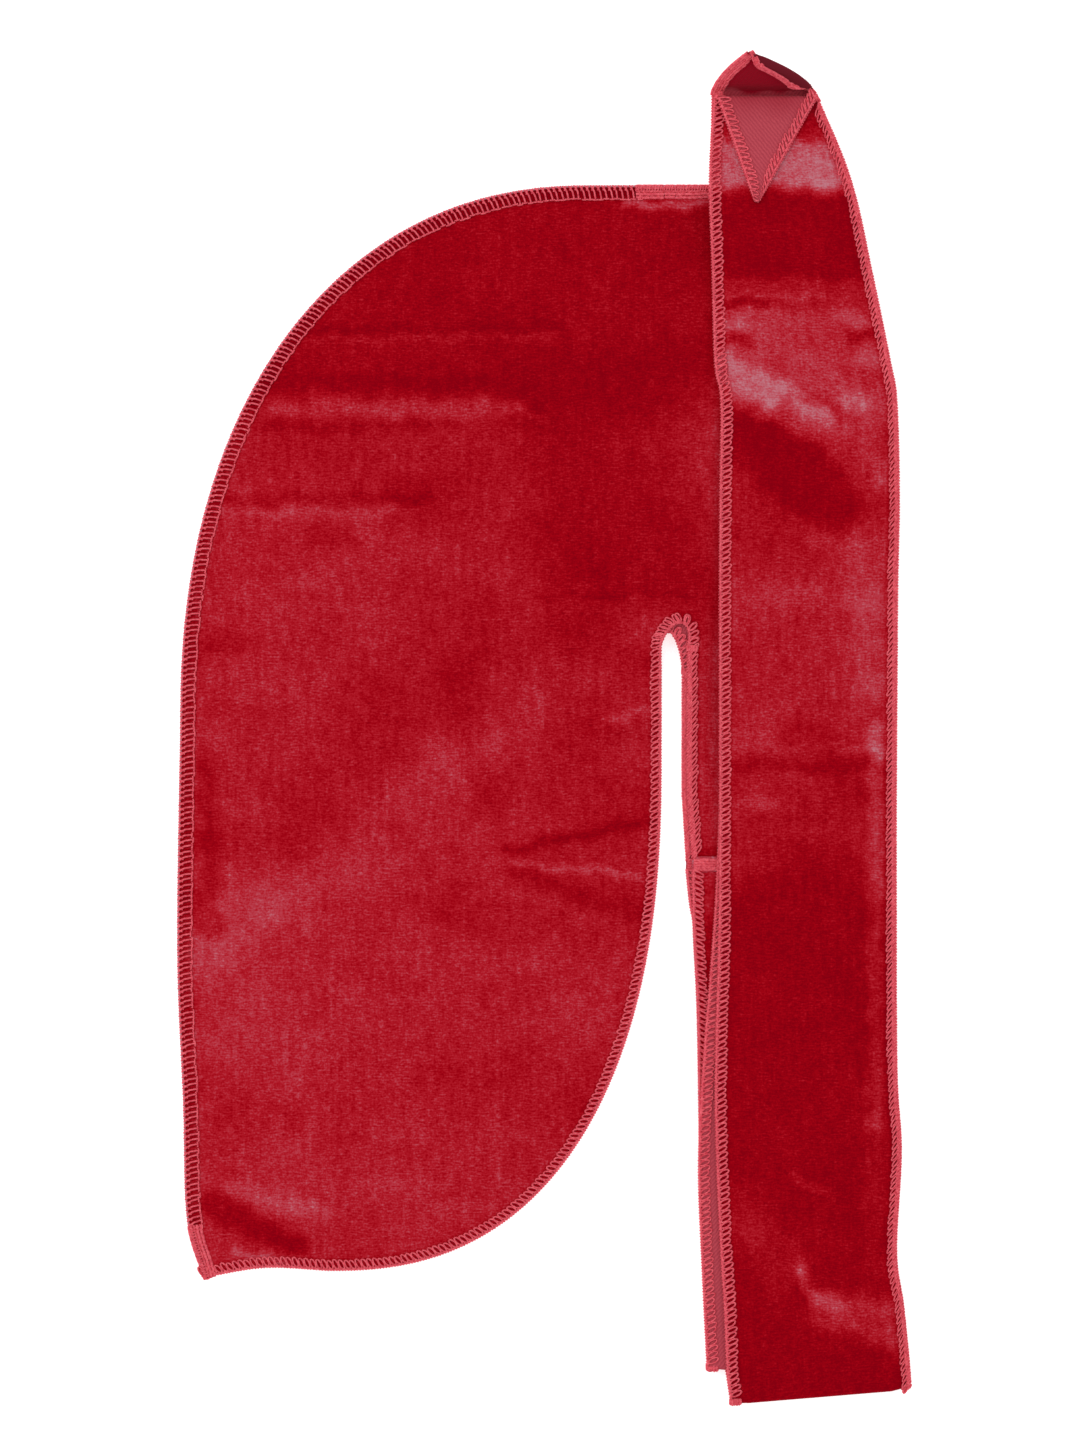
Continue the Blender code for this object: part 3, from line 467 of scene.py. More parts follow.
def near_height(x, y):
    """Middle of the near half's cloth."""
    from_seam = seam_distance(x, y)
    rise = ramp(from_seam, PUFF_FROM_SEAM) * ramp(y, PUFF_ALONG)
    free = smooth((from_seam - PUFF_FROM_SEAM[0]) / WRINKLES_FROM_SEAM)
    return NEAR_LAYER + PUFF * rise + free * fold_height(x, y, PANEL_FOLDS)


def far_height(x, y):
    """Middle of the far half's cloth, on the floor but where it clings to the near half at the notch."""
    away = np.hypot(x - NOTCH_LEFT, np.clip(y - RIGHT_ROOT.notch_shoulder, 0.0, None))
    return FLOOR_LAYER + (1 - ramp(away, CLING)) * (near_height(x, y) - NEAR_LAYER)


def edge_at(edges, y):
    """Left and right edge of a run at a distance along Y."""
    if len(edges) == 1:
        return edges[0].left, edges[0].right
    knots = np.array(sorted(edges))
    return [np.interp(y, *soft_curve(knots[:, [0, side]]).T) for side in (1, 2)]


def sweep_window(grid, reach, combine):
    """Combine each cell of a map with its neighbours within a reach, along both axes."""
    cells = round(reach / CELL)
    for axis in (0, 1):
        shifted = [np.roll(grid, step, axis=axis) for step in range(-cells, cells + 1)]
        grid = combine(np.array(shifted), axis=0)
    return grid


class Stack:
    """Height map of everything laid so far, which the next layer is laid on."""

    def __init__(self):
        self.x, self.y = np.meshgrid(MAP_X, MAP_Y)
        self.top = np.zeros(self.x.shape)

    def add(self, mask, middle, thickness=CLOTH):
        """Lay a piece, given by its middle height, where the mask holds."""
        self.top = np.where(mask, np.maximum(self.top, middle + thickness / 2), self.top)

    def run(self, edges, low, high):
        """Cells of the map that a run of a tie covers."""
        left, right = edge_at(edges, self.y)
        return (self.x > left) & (self.x < right) & (self.y > low) & (self.y < high)

    def add_tie_seam(self, root, bottom):
        """Lay the seam across the root of a tie."""
        seam = [Edge(0, root.corner_x, root.corner_x + STRAP_WIDTH)]
        self.add(self.run(seam, *TIE_SEAM), bottom + TIE_SEAM_THICK / 2, TIE_SEAM_THICK)

    def drape(self, folds=()):
        """Middle height of a layer of cloth laid over the stack."""
        wide = sweep_window(self.top, REACH + MARGIN, np.max)
        soft = sweep_window(wide, REACH, np.mean)
        return soft + np.minimum(soft, GAP) + CLOTH / 2 + fold_height(self.x, self.y, folds)


def sample(grid, x, y):
    """Height of a map between its cells."""
    column = (np.asarray(x, float) - MAP_X[0]) / CELL
    row = (np.asarray(y, float) - MAP_Y[0]) / CELL
    i, j = np.floor(row).astype(int), np.floor(column).astype(int)
    u, v = row - i, column - j
    low = grid[i, j] * (1 - v) + grid[i, j + 1] * v
    high = grid[i + 1, j] * (1 - v) + grid[i + 1, j + 1] * v
    return low * (1 - u) + high * u


# Rows of the ties

def run_rows(start, end, edges, grid, tilt=0.0):
    """Rows of points across a run. Those near a tilted fold are turned with it."""
    columns = np.linspace(0.0, 1.0, COLUMNS + 1)
    rows = []
    for y in np.linspace(start, end, round(abs(end - start) / ROW_STEP) + 1):
        left, right = edge_at(edges, y)
        x = left + (right - left) * columns
        row_y = y + tilt * smooth((TILT_ENDS - y) / TILT_LENGTH) * columns
        rows.append(np.column_stack([x, row_y, sample(grid, x, row_y)]))
    return rows


def fold_rows(last, first, side):
    """Rows round a fold that bulges towards one side of Y, from one run's end to the next's start."""
    rows = []
    radius = np.abs(first[:, 2] - last[:, 2]) / 2
    for angle in np.radians(np.linspace(0, 180, FOLD_STEPS + 1)[1:-1]):
        row = last + (first - last) * (1 - math.cos(angle)) / 2
        row[:, 1] += side * radius * math.sin(angle)
        rows.append(row)
    return rows


def curled_tip(base):
    """Rows of the near tie's tip, which stands up to a point and rolls its right edge forward."""
    rows = []
    slope = math.atan2(RIGHT_TIP_RISE, RIGHT_TIP_REACH)
    length = ROLL_RADIUS * ROLL_TURN + ROLL_EDGE
    for t in np.linspace(0.0, 1.0, TIP_ROWS + 1)[1:]:
        bow = 4 * t * (1 - t)
        left = base[0, 0] + t * (RIGHT_TIP_END_X - TIP_BLUNT / 2 - base[0, 0]) - TIP_BULGE * bow
        right = base[-1, 0] + t * (RIGHT_TIP_END_X + TIP_BLUNT / 2 - base[-1, 0]) + ROLL_BULGE * bow
        share = min(1.0, ROLL_MOST * (right - left) / length) * ramp(t, ROLL_FROM) + 1e-3
        radius = ROLL_RADIUS * share
        flat = right - radius - left
        across = np.linspace(0.0, flat + length * share, len(base))
        turn = np.clip((across - flat) / radius, 0.0, ROLL_TURN)
        after = np.clip(across - flat - radius * ROLL_TURN, 0.0, None)
        lift = radius * (1 - np.cos(turn)) + after * math.sin(ROLL_TURN)
        lean = slope * smooth(t / TIP_TURNS_UP)
        row = base.copy()
        row[:, 0] = left + np.minimum(across, flat) + radius * np.sin(turn) + after * math.cos(ROLL_TURN)
        row[:, 1] += RIGHT_TIP_REACH * t - lift * math.sin(lean)
        row[:, 2] += RIGHT_TIP_RISE * t * smooth(t / TIP_TURNS_UP + TIP_STARTS_UP) + lift * math.cos(lean)
        rows.append(row)
    return rows


def folded_tip(base, grid):
    """Rows of the far tie's tip, which lies folded forward on its own run."""
    rows = []
    for t in np.linspace(0.0, 1.0, TIP_ROWS + 1):
        left = LEFT_TIP_BASE[0] + t * (LEFT_TIP_END[0] - TIP_BLUNT / 2 - LEFT_TIP_BASE[0])
        right = LEFT_TIP_BASE[1] + t * (LEFT_TIP_END[0] + TIP_BLUNT / 2 - LEFT_TIP_BASE[1])
        x = np.linspace(left, right, len(base))
        y = np.full(len(base), base[0, 1] + t * (LEFT_TIP_END[1] - base[0, 1]))
        lift = LAYER + (2 * FOLD_RADIUS - LAYER) * math.exp(-t / TIP_SETTLE)
        rows.append(np.column_stack([x, y, sample(grid, x, y) + lift]))
    return rows


def lay_ties():
    """Rows of both ties, laid in order with the cap between them."""
    stack = Stack()
    tilt = LEFT_FOLD_Y[1] - LEFT_FOLD_Y[0]
    floor = np.full(stack.x.shape, FLOOR_LAYER)
    stack.add(inside(panel_outline(LEFT_ROOT), stack.x, stack.y), FLOOR_LAYER)
    stack.add_tie_seam(LEFT_ROOT, 0.0)
    stack.add(stack.run(LEFT_DOWN, LEFT_FOLD_Y[0], STRAP_START), floor)
    far_down = run_rows(STRAP_START, LEFT_FOLD_Y[0] + CLOTH / 2 + LEFT_FOLD_RADIUS, LEFT_DOWN, floor, tilt)

    # the near tie's first run is laid before the near half, and covered after it
    under = stack.drape()
    near_down = run_rows(STRAP_START, RIGHT_FOLD_Y + CLOTH / 2 + FOLD_RADIUS, RIGHT_DOWN, under)
    bridged = stack.run([Edge(0, MOUTH.left, MOUTH.right)], MOUTH.y, SEAM_TOP_Y)
    stack.add(inside(panel_outline(RIGHT_ROOT), stack.x, stack.y) | bridged, near_height(stack.x, stack.y))
    lip = inside(seam_path(), stack.x, stack.y) & (seam_distance(stack.x, stack.y) < SEAM_LIP)
    stack.add(lip, SEAM_HEIGHT - CLOTH / 2)
    stack.add_tie_seam(RIGHT_ROOT, TIE_SEAM_THICK + GAP)
    stack.add(stack.run(RIGHT_DOWN, RIGHT_FOLD_Y, STRAP_START), under)

    # up again, with its reverse side up
    start = near_down[-1][0, 1]
    over = stack.drape()
    settle = np.exp(-((stack.y - start) / FOLD_SETTLE) ** 2)
    over = over + np.clip(under + 2 * FOLD_RADIUS - over, 0.0, None) * settle
    up = run_rows(start, RIGHT_TIP_Y, RIGHT_UP, over)
    stack.add(stack.run(RIGHT_UP, RIGHT_FOLD_Y, RIGHT_TIP_Y), over)
    near_tie = near_down + fold_rows(near_down[-1], up[0], -1.0) + up + curled_tip(up[-1])

    # the far tie's second run lies on top of everything
    over = stack.drape(STRAP_FOLDS)
    up = run_rows(far_down[-1][0, 1], LEFT_TIP_FOLD_Y - CLOTH / 2 - FOLD_RADIUS, LEFT_UP, over, tilt)
    tip = folded_tip(up[-1], over)
    far_tie = far_down + fold_rows(far_down[-1], up[0], -1.0) + up + fold_rows(up[-1], tip[0], 1.0) + tip
    return {"left_strap": np.array(far_tie), "right_strap": np.array(near_tie)}


# Cloth

Surface = namedtuple("Surface", "middle normals half nap shade cloth faces")


def place():
    """Where the part's own centre puts the durag, from a corner of a tie seam's solid."""
    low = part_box("left_tie_seam")[0]
    return np.array([low[0] / MM - LEFT_ROOT.corner_x, low[1] / MM - TIE_SEAM[0], 0.0])


def nap_and_shade_at(x, y, strokes, base):
    """How light the pile looks at each point, from 0 to 1: brushed pile, and painted shade and highlights."""
    nap = np.full(len(x), base)
    x = x + NAP_WANDER * sum(np.sin(a * x + b * y + start) for a, b, start in WANDER_ACROSS)
    y = y + NAP_WANDER * sum(np.sin(a * x + b * y + start) for a, b, start in WANDER_ALONG)
    for stroke in strokes:
        dx, dy = stroke.x1 - stroke.x0, stroke.y1 - stroke.y0
        t = np.clip(((x - stroke.x0) * dx + (y - stroke.y0) * dy) / (dx * dx + dy * dy), 0.0, 1.0)
        away = np.hypot(x - stroke.x0 - t * dx, y - stroke.y0 - t * dy)
        nap += stroke.amount * smooth((stroke.width - away) / stroke.soft + 0.5)
    return nap


def nap_with_thread_shade(x, y, strokes, base, distance, width):
    """The same within its range, with painted shade between the threads near a stitched edge."""
    sewn = SEWN_SHADE * (1 - smooth((distance - width + SEWN_BEFORE) / SEWN_FADE))
    return np.clip(nap_and_shade_at(x, y, strokes, base), NAP_LEAST, 1.0) - sewn


def pressed_half(distance, width):
    """Half thickness of the cloth at a distance from a stitched edge."""
    return PRESSED + (CLOTH / 2 - PRESSED) * smooth((distance - width) / PRESS_END)


def pressed_rise(height, distance, width):
    """Height of a layer whose stitched edge is lifted off the floor by its thread."""
    return height + np.clip(FLOOR_EDGE - height, 0.0, None) * (1 - smooth((distance - width) / PRESS_END))


def slopes(height, x, y):
    """Unit normals of a height function."""
    normals = np.column_stack([(height(x - 1, y) - height(x + 1, y)) / 2,
                               (height(x, y - 1) - height(x, y + 1)) / 2, np.ones(len(x))])
    return normals / np.linalg.norm(normals, axis=1)[:, None]


def grid_faces(rows, size):
    """Quads between the points of a grid."""
    corners = (np.arange(rows - 1)[:, None] * size + np.arange(size - 1)).ravel()
    return np.column_stack([corners, corners + 1, corners + size + 1, corners + size]).tolist()


def lengths_along(grid, axis):
    """Length from the start of each line of a grid to each of its points."""
    steps = np.linalg.norm(np.diff(grid, axis=axis), axis=2)
    return np.insert(np.cumsum(steps, axis=axis), 0, 0.0, axis=axis)


def panel_surface(root, height, step, width):
    """Fine triangles over one half of the cap."""
    outline = panel_outline(root)
    low, high = outline.min(axis=0), outline.max(axis=0)
    x, y = np.meshgrid(np.arange(low[0], high[0], step), np.arange(low[1], high[1], step * math.sqrt(0.75)))
    x[1::2] += step / 2
    points = np.column_stack([x.ravel(), y.ravel()])
    points = points[inside(outline, *points.T)]
    points = points[edge_distance(outline, points) > POINT_CLEAR * step]
    loop = [(k, (k + 1) % len(outline)) for k in range(len(outline))]
    found = delaunay_2d_cdt([Vector(p) for p in np.vstack([outline, points])], loop, [], 1, 1e-6)
    flat = np.array([tuple(v) for v in found[0]])
    faces = np.array(found[2])
    a, b, c = (flat[faces[:, k]] for k in range(3))
    turn = (b[:, 0] - a[:, 0]) * (c[:, 1] - a[:, 1]) - (b[:, 1] - a[:, 1]) * (c[:, 0] - a[:, 0])
    faces[turn < 0] = faces[turn < 0][:, ::-1]
    x, y = flat.T
    distance = edge_distance(outline, flat)
    middle = np.column_stack([x, y, pressed_rise(height(x, y), distance, width)])
    nap = nap_with_thread_shade(x, y, PANEL_NAP_AND_SHADE, PANEL_NAP_BASE, distance, width)
    return Surface(middle, slopes(height, x, y), pressed_half(distance, width), nap, np.ones(len(flat)), flat,
                   faces.tolist())


def tie_surface(grid, width):
    """Fine quads over a tie, from its rows."""
    normals = np.cross(np.gradient(grid, axis=1), np.gradient(grid, axis=0))
    normals /= np.linalg.norm(normals, axis=2)[:, :, None]
    across = lengths_along(grid, 1)
    along = lengths_along(grid, 0)[:, COLUMNS // 2]
    distance = np.minimum(across, across[:, -1:] - across)
    middle = grid.copy()
    middle[:, :, 2] = pressed_rise(grid[:, :, 2], distance, width)
    cloth = np.stack([across - across[:, -1:] / 2, np.broadcast_to(along[:, None], across.shape)], axis=2)
    x, y = grid[:, :, 0].ravel(), grid[:, :, 1].ravel()
    nap = nap_with_thread_shade(x, y, TIE_NAP_AND_SHADE, TIE_NAP_BASE, distance.ravel(), width)
    return Surface(middle.reshape(-1, 3), normals.reshape(-1, 3), pressed_half(distance, width).ravel(), nap,
                   nap_and_shade_at(x, y, TIP_SHADE, 1.0), cloth.reshape(-1, 2), grid_faces(*grid.shape[:2]))


def seam_cover(x, y, middle, bulge):
    """Quads of the pressed cloth that a seam joins, brushed pale along its ridge."""
    flat = np.column_stack([x.ravel(), y.ravel()])
    points = np.column_stack([flat, np.full(x.size, middle)])
    half = np.broadcast_to(PRESSED + bulge, x.shape).ravel()
    normals = np.broadcast_to((0.0, 0.0, 1.0), points.shape)
    return Surface(points, normals, half, 0.5 + half / 2, np.ones(x.size), flat, grid_faces(*x.shape))


def link(name, data):
    """Put a mesh or another kind of data in the scene, at the origin."""
    piece = bpy.data.objects.new(name, data)
    bpy.context.scene.collection.objects.link(piece)
    return piece


def store(mesh, name, values, kind="FLOAT"):
    """Give each point of a mesh its own value."""
    data = mesh.attributes.new(name, kind, "POINT").data
    values = np.asarray(values, np.int32 if kind == "INT" else np.float32)
    data.foreach_set("vector" if kind == "FLOAT_VECTOR" else "value", values.ravel())


def cloth_piece(name, surface, upper, lower):
    """A wall of cloth round its middle surface, with a material for each side."""
    half = surface.normals * surface.half[:, None]
    count, sides = len(half), len(surface.faces)
    directed = {(f[k], f[(k + 1) % len(f)]) for f in surface.faces for k in range(len(f))}
    rim = [(b, a, a + count, b + count) for a, b in sorted(directed) if (b, a) not in directed]
    under = [[v + count for v in reversed(face)] for face in surface.faces]
    mesh = bpy.data.meshes.new(name)
    points = (np.vstack([surface.middle + half, surface.middle - half]) + place()) * MM
    mesh.from_pydata(points.tolist(), [], surface.faces + under + rim)
    mesh.materials.append(upper)
    mesh.materials.append(lower)
    number = np.arange(len(mesh.polygons))
    mesh.polygons.foreach_set("material_index", ((number >= sides) & (number < 2 * sides)).astype(np.int32))
    mesh.polygons.foreach_set("use_smooth", number < 2 * sides)
    corners = np.zeros(len(mesh.loops), np.int32)
    mesh.loops.foreach_get("vertex_index", corners)
    uv = mesh.uv_layers.new(name="cloth")
    uv.data.foreach_set("uv", (surface.cloth * MM)[corners % count].astype(np.float32).ravel())
    # nap: brushed pile with painted shade and highlights beside folds and bends and painted shade between the
    # threads; shade: painted shade on the tips
    store(mesh, "nap", np.tile(surface.nap, 2))
    store(mesh, "shade", np.tile(surface.shade, 2))
    mesh.update()
    return link(name, mesh)


# Nodes

def node(tree, kind, inputs=None, out=0, **settings):
    """Add a node with its settings and inputs to a tree, and return one of its outputs."""
    made = tree.nodes.new(kind)
    for key, value in settings.items():
        setattr(made, key, value)
    for key, value in (inputs or {}).items():
        if isinstance(value, bpy.types.NodeSocket):
            tree.links.new(value, made.inputs[key])
        else:
            made.inputs[key].default_value = value
    return made.outputs[out] if len(made.outputs) else None


def calculate(tree, operation, *values):
    """A sum, product or other operation on numbers."""
    return node(tree, "ShaderNodeMath", dict(enumerate(values)), operation=operation)


def vector(tree, *axes):
    """A vector from its axes."""
    return node(tree, "ShaderNodeCombineXYZ", dict(enumerate(axes)))


def scaled(tree, source, factors):
    """A vector with each of its axes multiplied."""
    return node(tree, "ShaderNodeVectorMath", {0: source, 1: factors}, operation="MULTIPLY")


def stored(tree, name, kind="FLOAT"):
    """A value stored at each point, in geometry nodes."""
    return node(tree, "GeometryNodeInputNamedAttribute", {"Name": name}, data_type=kind)


def painted(tree, name):
    """The same in a material."""
    return node(tree, "ShaderNodeAttribute", out="Fac", attribute_name=name)


def cloth_map(tree):
    """Place on the flat cloth."""
    return node(tree, "ShaderNodeUVMap", out="UV", uv_map="cloth")


def noise(tree, source, scale, detail, dimensions="2D"):
    """Soft noise from 0 to 1."""
    inputs = {"Vector": source, "Scale": scale, "Detail": detail}
    return node(tree, "ShaderNodeTexNoise", inputs, "Fac", noise_dimensions=dimensions)


def spread(tree, value, low, high, to_low=0.0, to_high=1.0):
    """A range of values moved to another range."""
    return node(tree, "ShaderNodeMapRange", {"Value": value, "From Min": low, "From Max": high,
                                             "To Min": to_low, "To Max": to_high})


def mix(tree, share, low, high):
    """A colour between two, each a socket or a plain colour."""
    low, high = [end if isinstance(end, bpy.types.NodeSocket) else (*end, 1.0) for end in (low, high)]
    return node(tree, "ShaderNodeMix", {0: share, 6: low, 7: high}, 2, data_type="RGBA")


# Materials

def velvet(tree, settings):
    """Knitted polyester stretch velvet: a dense cut pile that is dark where you look into it,
    lighter where it was brushed over, and pale along folds that are seen side on. Its nap values also
    hold painted shade and highlights beside folds and bends, and its shade values paint shade on the curled
    tip."""
    cloth = cloth_map(tree)
    level = nap = painted(tree, "nap")
    # the paler the pile, the evener it looks
    mottle = spread(tree, nap, 0.5, 1.0, settings.mottle, 0.5 * settings.mottle)
    for across, along, detail, strength in PILE_NOISES:
        tufts = noise(tree, scaled(tree, cloth, (1 / (across * MM), 1 / (along * MM), 1.0)), 1.0, detail)
        centred = calculate(tree, "MULTIPLY", calculate(tree, "SUBTRACT", tufts, 0.5), mottle)
        level = calculate(tree, "MULTIPLY_ADD", centred, strength, level)
    shades = node(tree, "ShaderNodeValToRGB", {"Fac": level}, "Color")
    stops = shades.node.color_ramp.elements
    while len(stops) < len(PILE_STOPS):
        stops.new(0.5)
    for element, (position, name) in zip(stops, PILE_STOPS):
        element.position = position
        element.color = (*getattr(settings, name), 1.0)
    # painted shade at the back of the curled tip, from the shade attribute
    colour = mix(tree, painted(tree, "shade"), settings.pile_shaded, shades)
    return colour, tufts, 0.25, 0.3, {
        "Roughness": 0.95, "Specular IOR Level": 0.0, "Sheen Weight": settings.sheen, "Sheen Roughness": 0.3,
        "Sheen Tint": (*linear("#F2A6B0"), 1.0)}


def knit(tree, settings):
    """The knitted reverse of the velvet: matt loops in slanting ribs, without pile."""
    cloth = cloth_map(tree)
    turned = node(tree, "ShaderNodeMapping", {"Vector": cloth, "Rotation": (0.0, 0.0, RIB_TURN)})
    # the wave texture repeats every 2 pi / 20 of its scale
    ribs = node(tree, "ShaderNodeTexWave",
                {"Vector": turned, "Scale": 1 / (settings.rib * MM) * 2 * math.pi / 20, "Distortion": 2.5,
                 "Detail": 1.0, "Detail Scale": 2.0}, "Fac", wave_type="BANDS", bands_direction="X")
    both = calculate(tree, "MULTIPLY_ADD", noise(tree, cloth, 1 / (0.8 * MM), 2.0), 0.9, ribs)
    colour = mix(tree, spread(tree, both, 0.2, 1.7), settings.reverse_dark, settings.reverse)
    # painted shade at the back of the curled tip, from the shade attribute
    colour = mix(tree, painted(tree, "shade"), settings.reverse_shaded, colour)
    return colour, both, 0.4, 0.3, {"Roughness": 0.9, "Specular IOR Level": 0.05, "Sheen Weight": 0.06}


def thread(tree, settings):
    """Textured polyester overlock thread: fluffy, matt and paler than the velvet."""
    place_on = node(tree, "ShaderNodeTexCoord", out="Object")
    fluff = noise(tree, place_on, 1 / (1.1 * MM), 2.0, "3D")
    colour = mix(tree, spread(tree, fluff, 0.3, 0.7), settings.thread_dark, settings.thread)
    return colour, fluff, 0.3, 0.15, {
        "Roughness": 0.85, "Specular IOR Level": 0.0, "Sheen Weight": 0.1,
        "Sheen Tint": (*settings.thread, 1.0)}


def material_for(name, paint):
    """A material by name, made the first time that a piece asks for it. Its function gives its
    colour, its relief with the relief's strength and depth in mm, and its finish."""
    material = bpy.data.materials.get(name)
    if material is None:
        material = bpy.data.materials.new(name)
        material.use_nodes = True
        tree = material.node_tree
        shader = tree.nodes["Principled BSDF"]
        colour, relief, strength, depth, finish = paint(tree, bpy.context.scene.durag_cloth)
        tree.links.new(colour, shader.inputs["Base Color"])
        bump = node(tree, "ShaderNodeBump", {"Height": relief, "Strength": strength, "Distance": depth * MM})
        tree.links.new(bump, shader.inputs["Normal"])
        for key, value in finish.items():
            shader.inputs[key].default_value = value
    return material


def cloth_sides():
    """Materials of the velvet's two sides."""
    return material_for("stretch_velvet", velvet), material_for("knitted_reverse", knit)


# Stitches

def stitch_pattern(name, strands, lean=0.0):
    """The strands of one stitch, as loose edges with a thickness at each point."""
    points, edges, thickness = [], [], []
    for strand in strands:
        edges += [(len(points) + k, len(points) + k + 1) for k in range(len(strand.points) - 1)]
        points += [(x + lean * y, y, z) for x, y, z in strand.points]
        thickness += [strand.thickness] * len(strand.points)
    mesh = bpy.data.meshes.new(name)
    mesh.from_pydata(points, edges, [])
    store(mesh, "thickness", thickness)
    return link(name, mesh)


def sized_stitch(tree, pattern, sizes):
    """Nodes that size the pattern and give its strands their thickness."""
    radius = sizes["Thread Radius"]
    rise = calculate(tree, "ADD", sizes["Half Thickness"], radius)
    placed = scaled(tree, node(tree, "GeometryNodeInputPosition"),
                    vector(tree, sizes["Pitch"], sizes["Width"], rise))
    sized = node(tree, "GeometryNodeSetPosition", {"Geometry": pattern, "Position": placed})
    swept = node(tree, "GeometryNodeCurveToMesh", {
        "Curve": node(tree, "GeometryNodeMeshToCurve", {"Mesh": sized}),
        "Profile Curve": node(tree, "GeometryNodeCurvePrimitiveCircle", {"Resolution": 4, "Radius": 1.0}),
        "Scale": calculate(tree, "MULTIPLY", stored(tree, "thickness"), radius), "Fill Caps": True})
    return node(tree, "GeometryNodeGeometryToInstance", {0: swept})


def stitch_tree():
    """Geometry Nodes that set a stitch at each pitch of a guide and join them into one mesh."""
    tree = bpy.data.node_groups.new("overlock_seam", "GeometryNodeTree")
    for name, kind in SEAM_INPUTS.items():
        tree.interface.new_socket(name, in_out="INPUT", socket_type="NodeSocket" + kind)
    tree.interface.new_socket("Seam", in_out="OUTPUT", socket_type="NodeSocketGeometry")
    sizes = node(tree, "NodeGroupInput").node.outputs
    kinds = node(tree, "GeometryNodeJoinGeometry")
    # the last one joined comes first in the list that the instances are picked from
    for source in ("Slanted Pattern", "Flat Pattern", "Pattern"):
        pattern = node(tree, "GeometryNodeObjectInfo", {"Object": sizes[source]}, "Geometry")
        tree.links.new(sized_stitch(tree, pattern, sizes), kinds.node.inputs[0])
    guide = node(tree, "GeometryNodeMeshToCurve", {"Mesh": sizes["Guide"]})
    places = node(tree, "GeometryNodeResampleCurve", {"Curve": guide, "Length": sizes["Pitch"]},
                  mode="LENGTH")
    upright = node(tree, "FunctionNodeAlignRotationToVector", {"Vector": stored(tree, "up", "FLOAT_VECTOR")},
                   axis="Z", pivot_axis="AUTO")
    tangent = node(tree, "GeometryNodeInputTangent")
    turned = node(tree, "FunctionNodeAlignRotationToVector", {"Rotation": upright, "Vector": tangent},
                  axis="X", pivot_axis="Z")
    swing, stretch = [
        node(tree, "FunctionNodeRandomValue", {"Min": -1.0, "Max": 1.0, "Seed": seed}, 1, data_type="FLOAT")
        for seed in (sizes["Seed"], calculate(tree, "ADD", sizes["Seed"], 7.0))]
    swing = vector(tree, 0.0, 0.0, calculate(tree, "MULTIPLY", swing, sizes["Unevenness"]))
    swing = node(tree, "FunctionNodeEulerToRotation", {0: swing})
    turned = node(tree, "FunctionNodeRotateRotation", {0: turned, 1: swing}, rotation_space="LOCAL")
    stretch = calculate(tree, "MULTIPLY_ADD", stretch, sizes["Unevenness"], 1.0)
    stretch = calculate(tree, "MULTIPLY", stretch, stored(tree, "share"))
    sewn = node(tree, "GeometryNodeInstanceOnPoints", {
        "Points": places, "Instance": kinds, "Pick Instance": True,
        "Instance Index": stored(tree, "kind", "INT"), "Rotation": turned,
        "Scale": vector(tree, 1.0, stretch, 1.0)})
    joined = node(tree, "GeometryNodeRealizeInstances", {0: sewn})
    there = node(tree, "ShaderNodeSeparateXYZ", {0: node(tree, "GeometryNodeInputPosition")}).node.outputs
    above = vector(tree, there[0], there[1], calculate(tree, "MAXIMUM", there[2], THREAD_LOWEST * MM))
    lying = node(tree, "GeometryNodeSetPosition", {"Geometry": joined, "Position": above})
    finished = node(tree, "GeometryNodeSetMaterial", {"Geometry": lying, "Material": sizes["Thread"]})
    node(tree, "NodeGroupOutput", {0: finished})
    return tree


# A guide has the kind of stitch at each of its points, and their width there as a share of the full one
Guide = namedtuple("Guide", "edge inner kind share")
LOOPED, FLAT, SLANTED = 0, 1, 2


def sew(name, guides, width, half, seed, pitch=None, lean=None, strands=LOOPS):
    """Sew a row of overlock stitches along each guide, as one plain mesh."""
    settings = bpy.context.scene.durag_stitches
    points, edges, up, kinds, shares = [], [], [], [], []
    for guide in guides:
        normal = np.cross(np.gradient(guide.edge, axis=0), guide.inner - guide.edge)
        edges += [(len(points) + k, len(points) + k + 1) for k in range(len(guide.edge) - 1)]
        points += ((guide.edge + place()) * MM).tolist()
        up.append(normal / np.linalg.norm(normal, axis=1)[:, None])
        kinds.append(np.broadcast_to(guide.kind, len(guide.edge)))
        shares.append(np.broadcast_to(guide.share, len(guide.edge)))
    mesh = bpy.data.meshes.new(name + "_guide")
    mesh.from_pydata(points, edges, [])
    store(mesh, "up", np.vstack(up), "FLOAT_VECTOR")
    store(mesh, "kind", np.hstack(kinds), "INT")
    store(mesh, "share", np.hstack(shares))
    line = link(name + "_guide", mesh)
    patterns = {
        "Pattern": stitch_pattern(name + "_pattern", strands, settings.lean if lean is None else lean),
        "Flat Pattern": stitch_pattern(name + "_flat", PULLED_FLAT),
        "Slanted Pattern": stitch_pattern(name + "_slanted", CORDS, settings.steep_lean)}
    tree = bpy.data.node_groups.get("overlock_seam") or stitch_tree()
    sewing = line.modifiers.new("sewing", "NODES")
    sewing.node_group = tree
    values = {**patterns, "Pitch": pitch or settings.pitch, "Width": width * MM, "Half Thickness": half * MM,
              "Thread Radius": settings.thread_radius, "Unevenness": settings.unevenness, "Seed": seed,
              "Thread": material_for("overlock_thread", thread)}
    for socket in tree.interface.items_tree:
        if socket.in_out == "INPUT" and socket.name in values:
            sewing[socket.identifier] = values[socket.name]
    evaluated = line.evaluated_get(bpy.context.evaluated_depsgraph_get())
    sewn = bpy.data.meshes.new_from_object(evaluated)
    for used in (line, *patterns.values()):
        bpy.data.objects.remove(used)
    if not sewn.polygons:
        raise RuntimeError(name + " has no stitches")
    sewn.name = name
    piece = link(name, sewn)
    show(piece, "thread")
    return piece


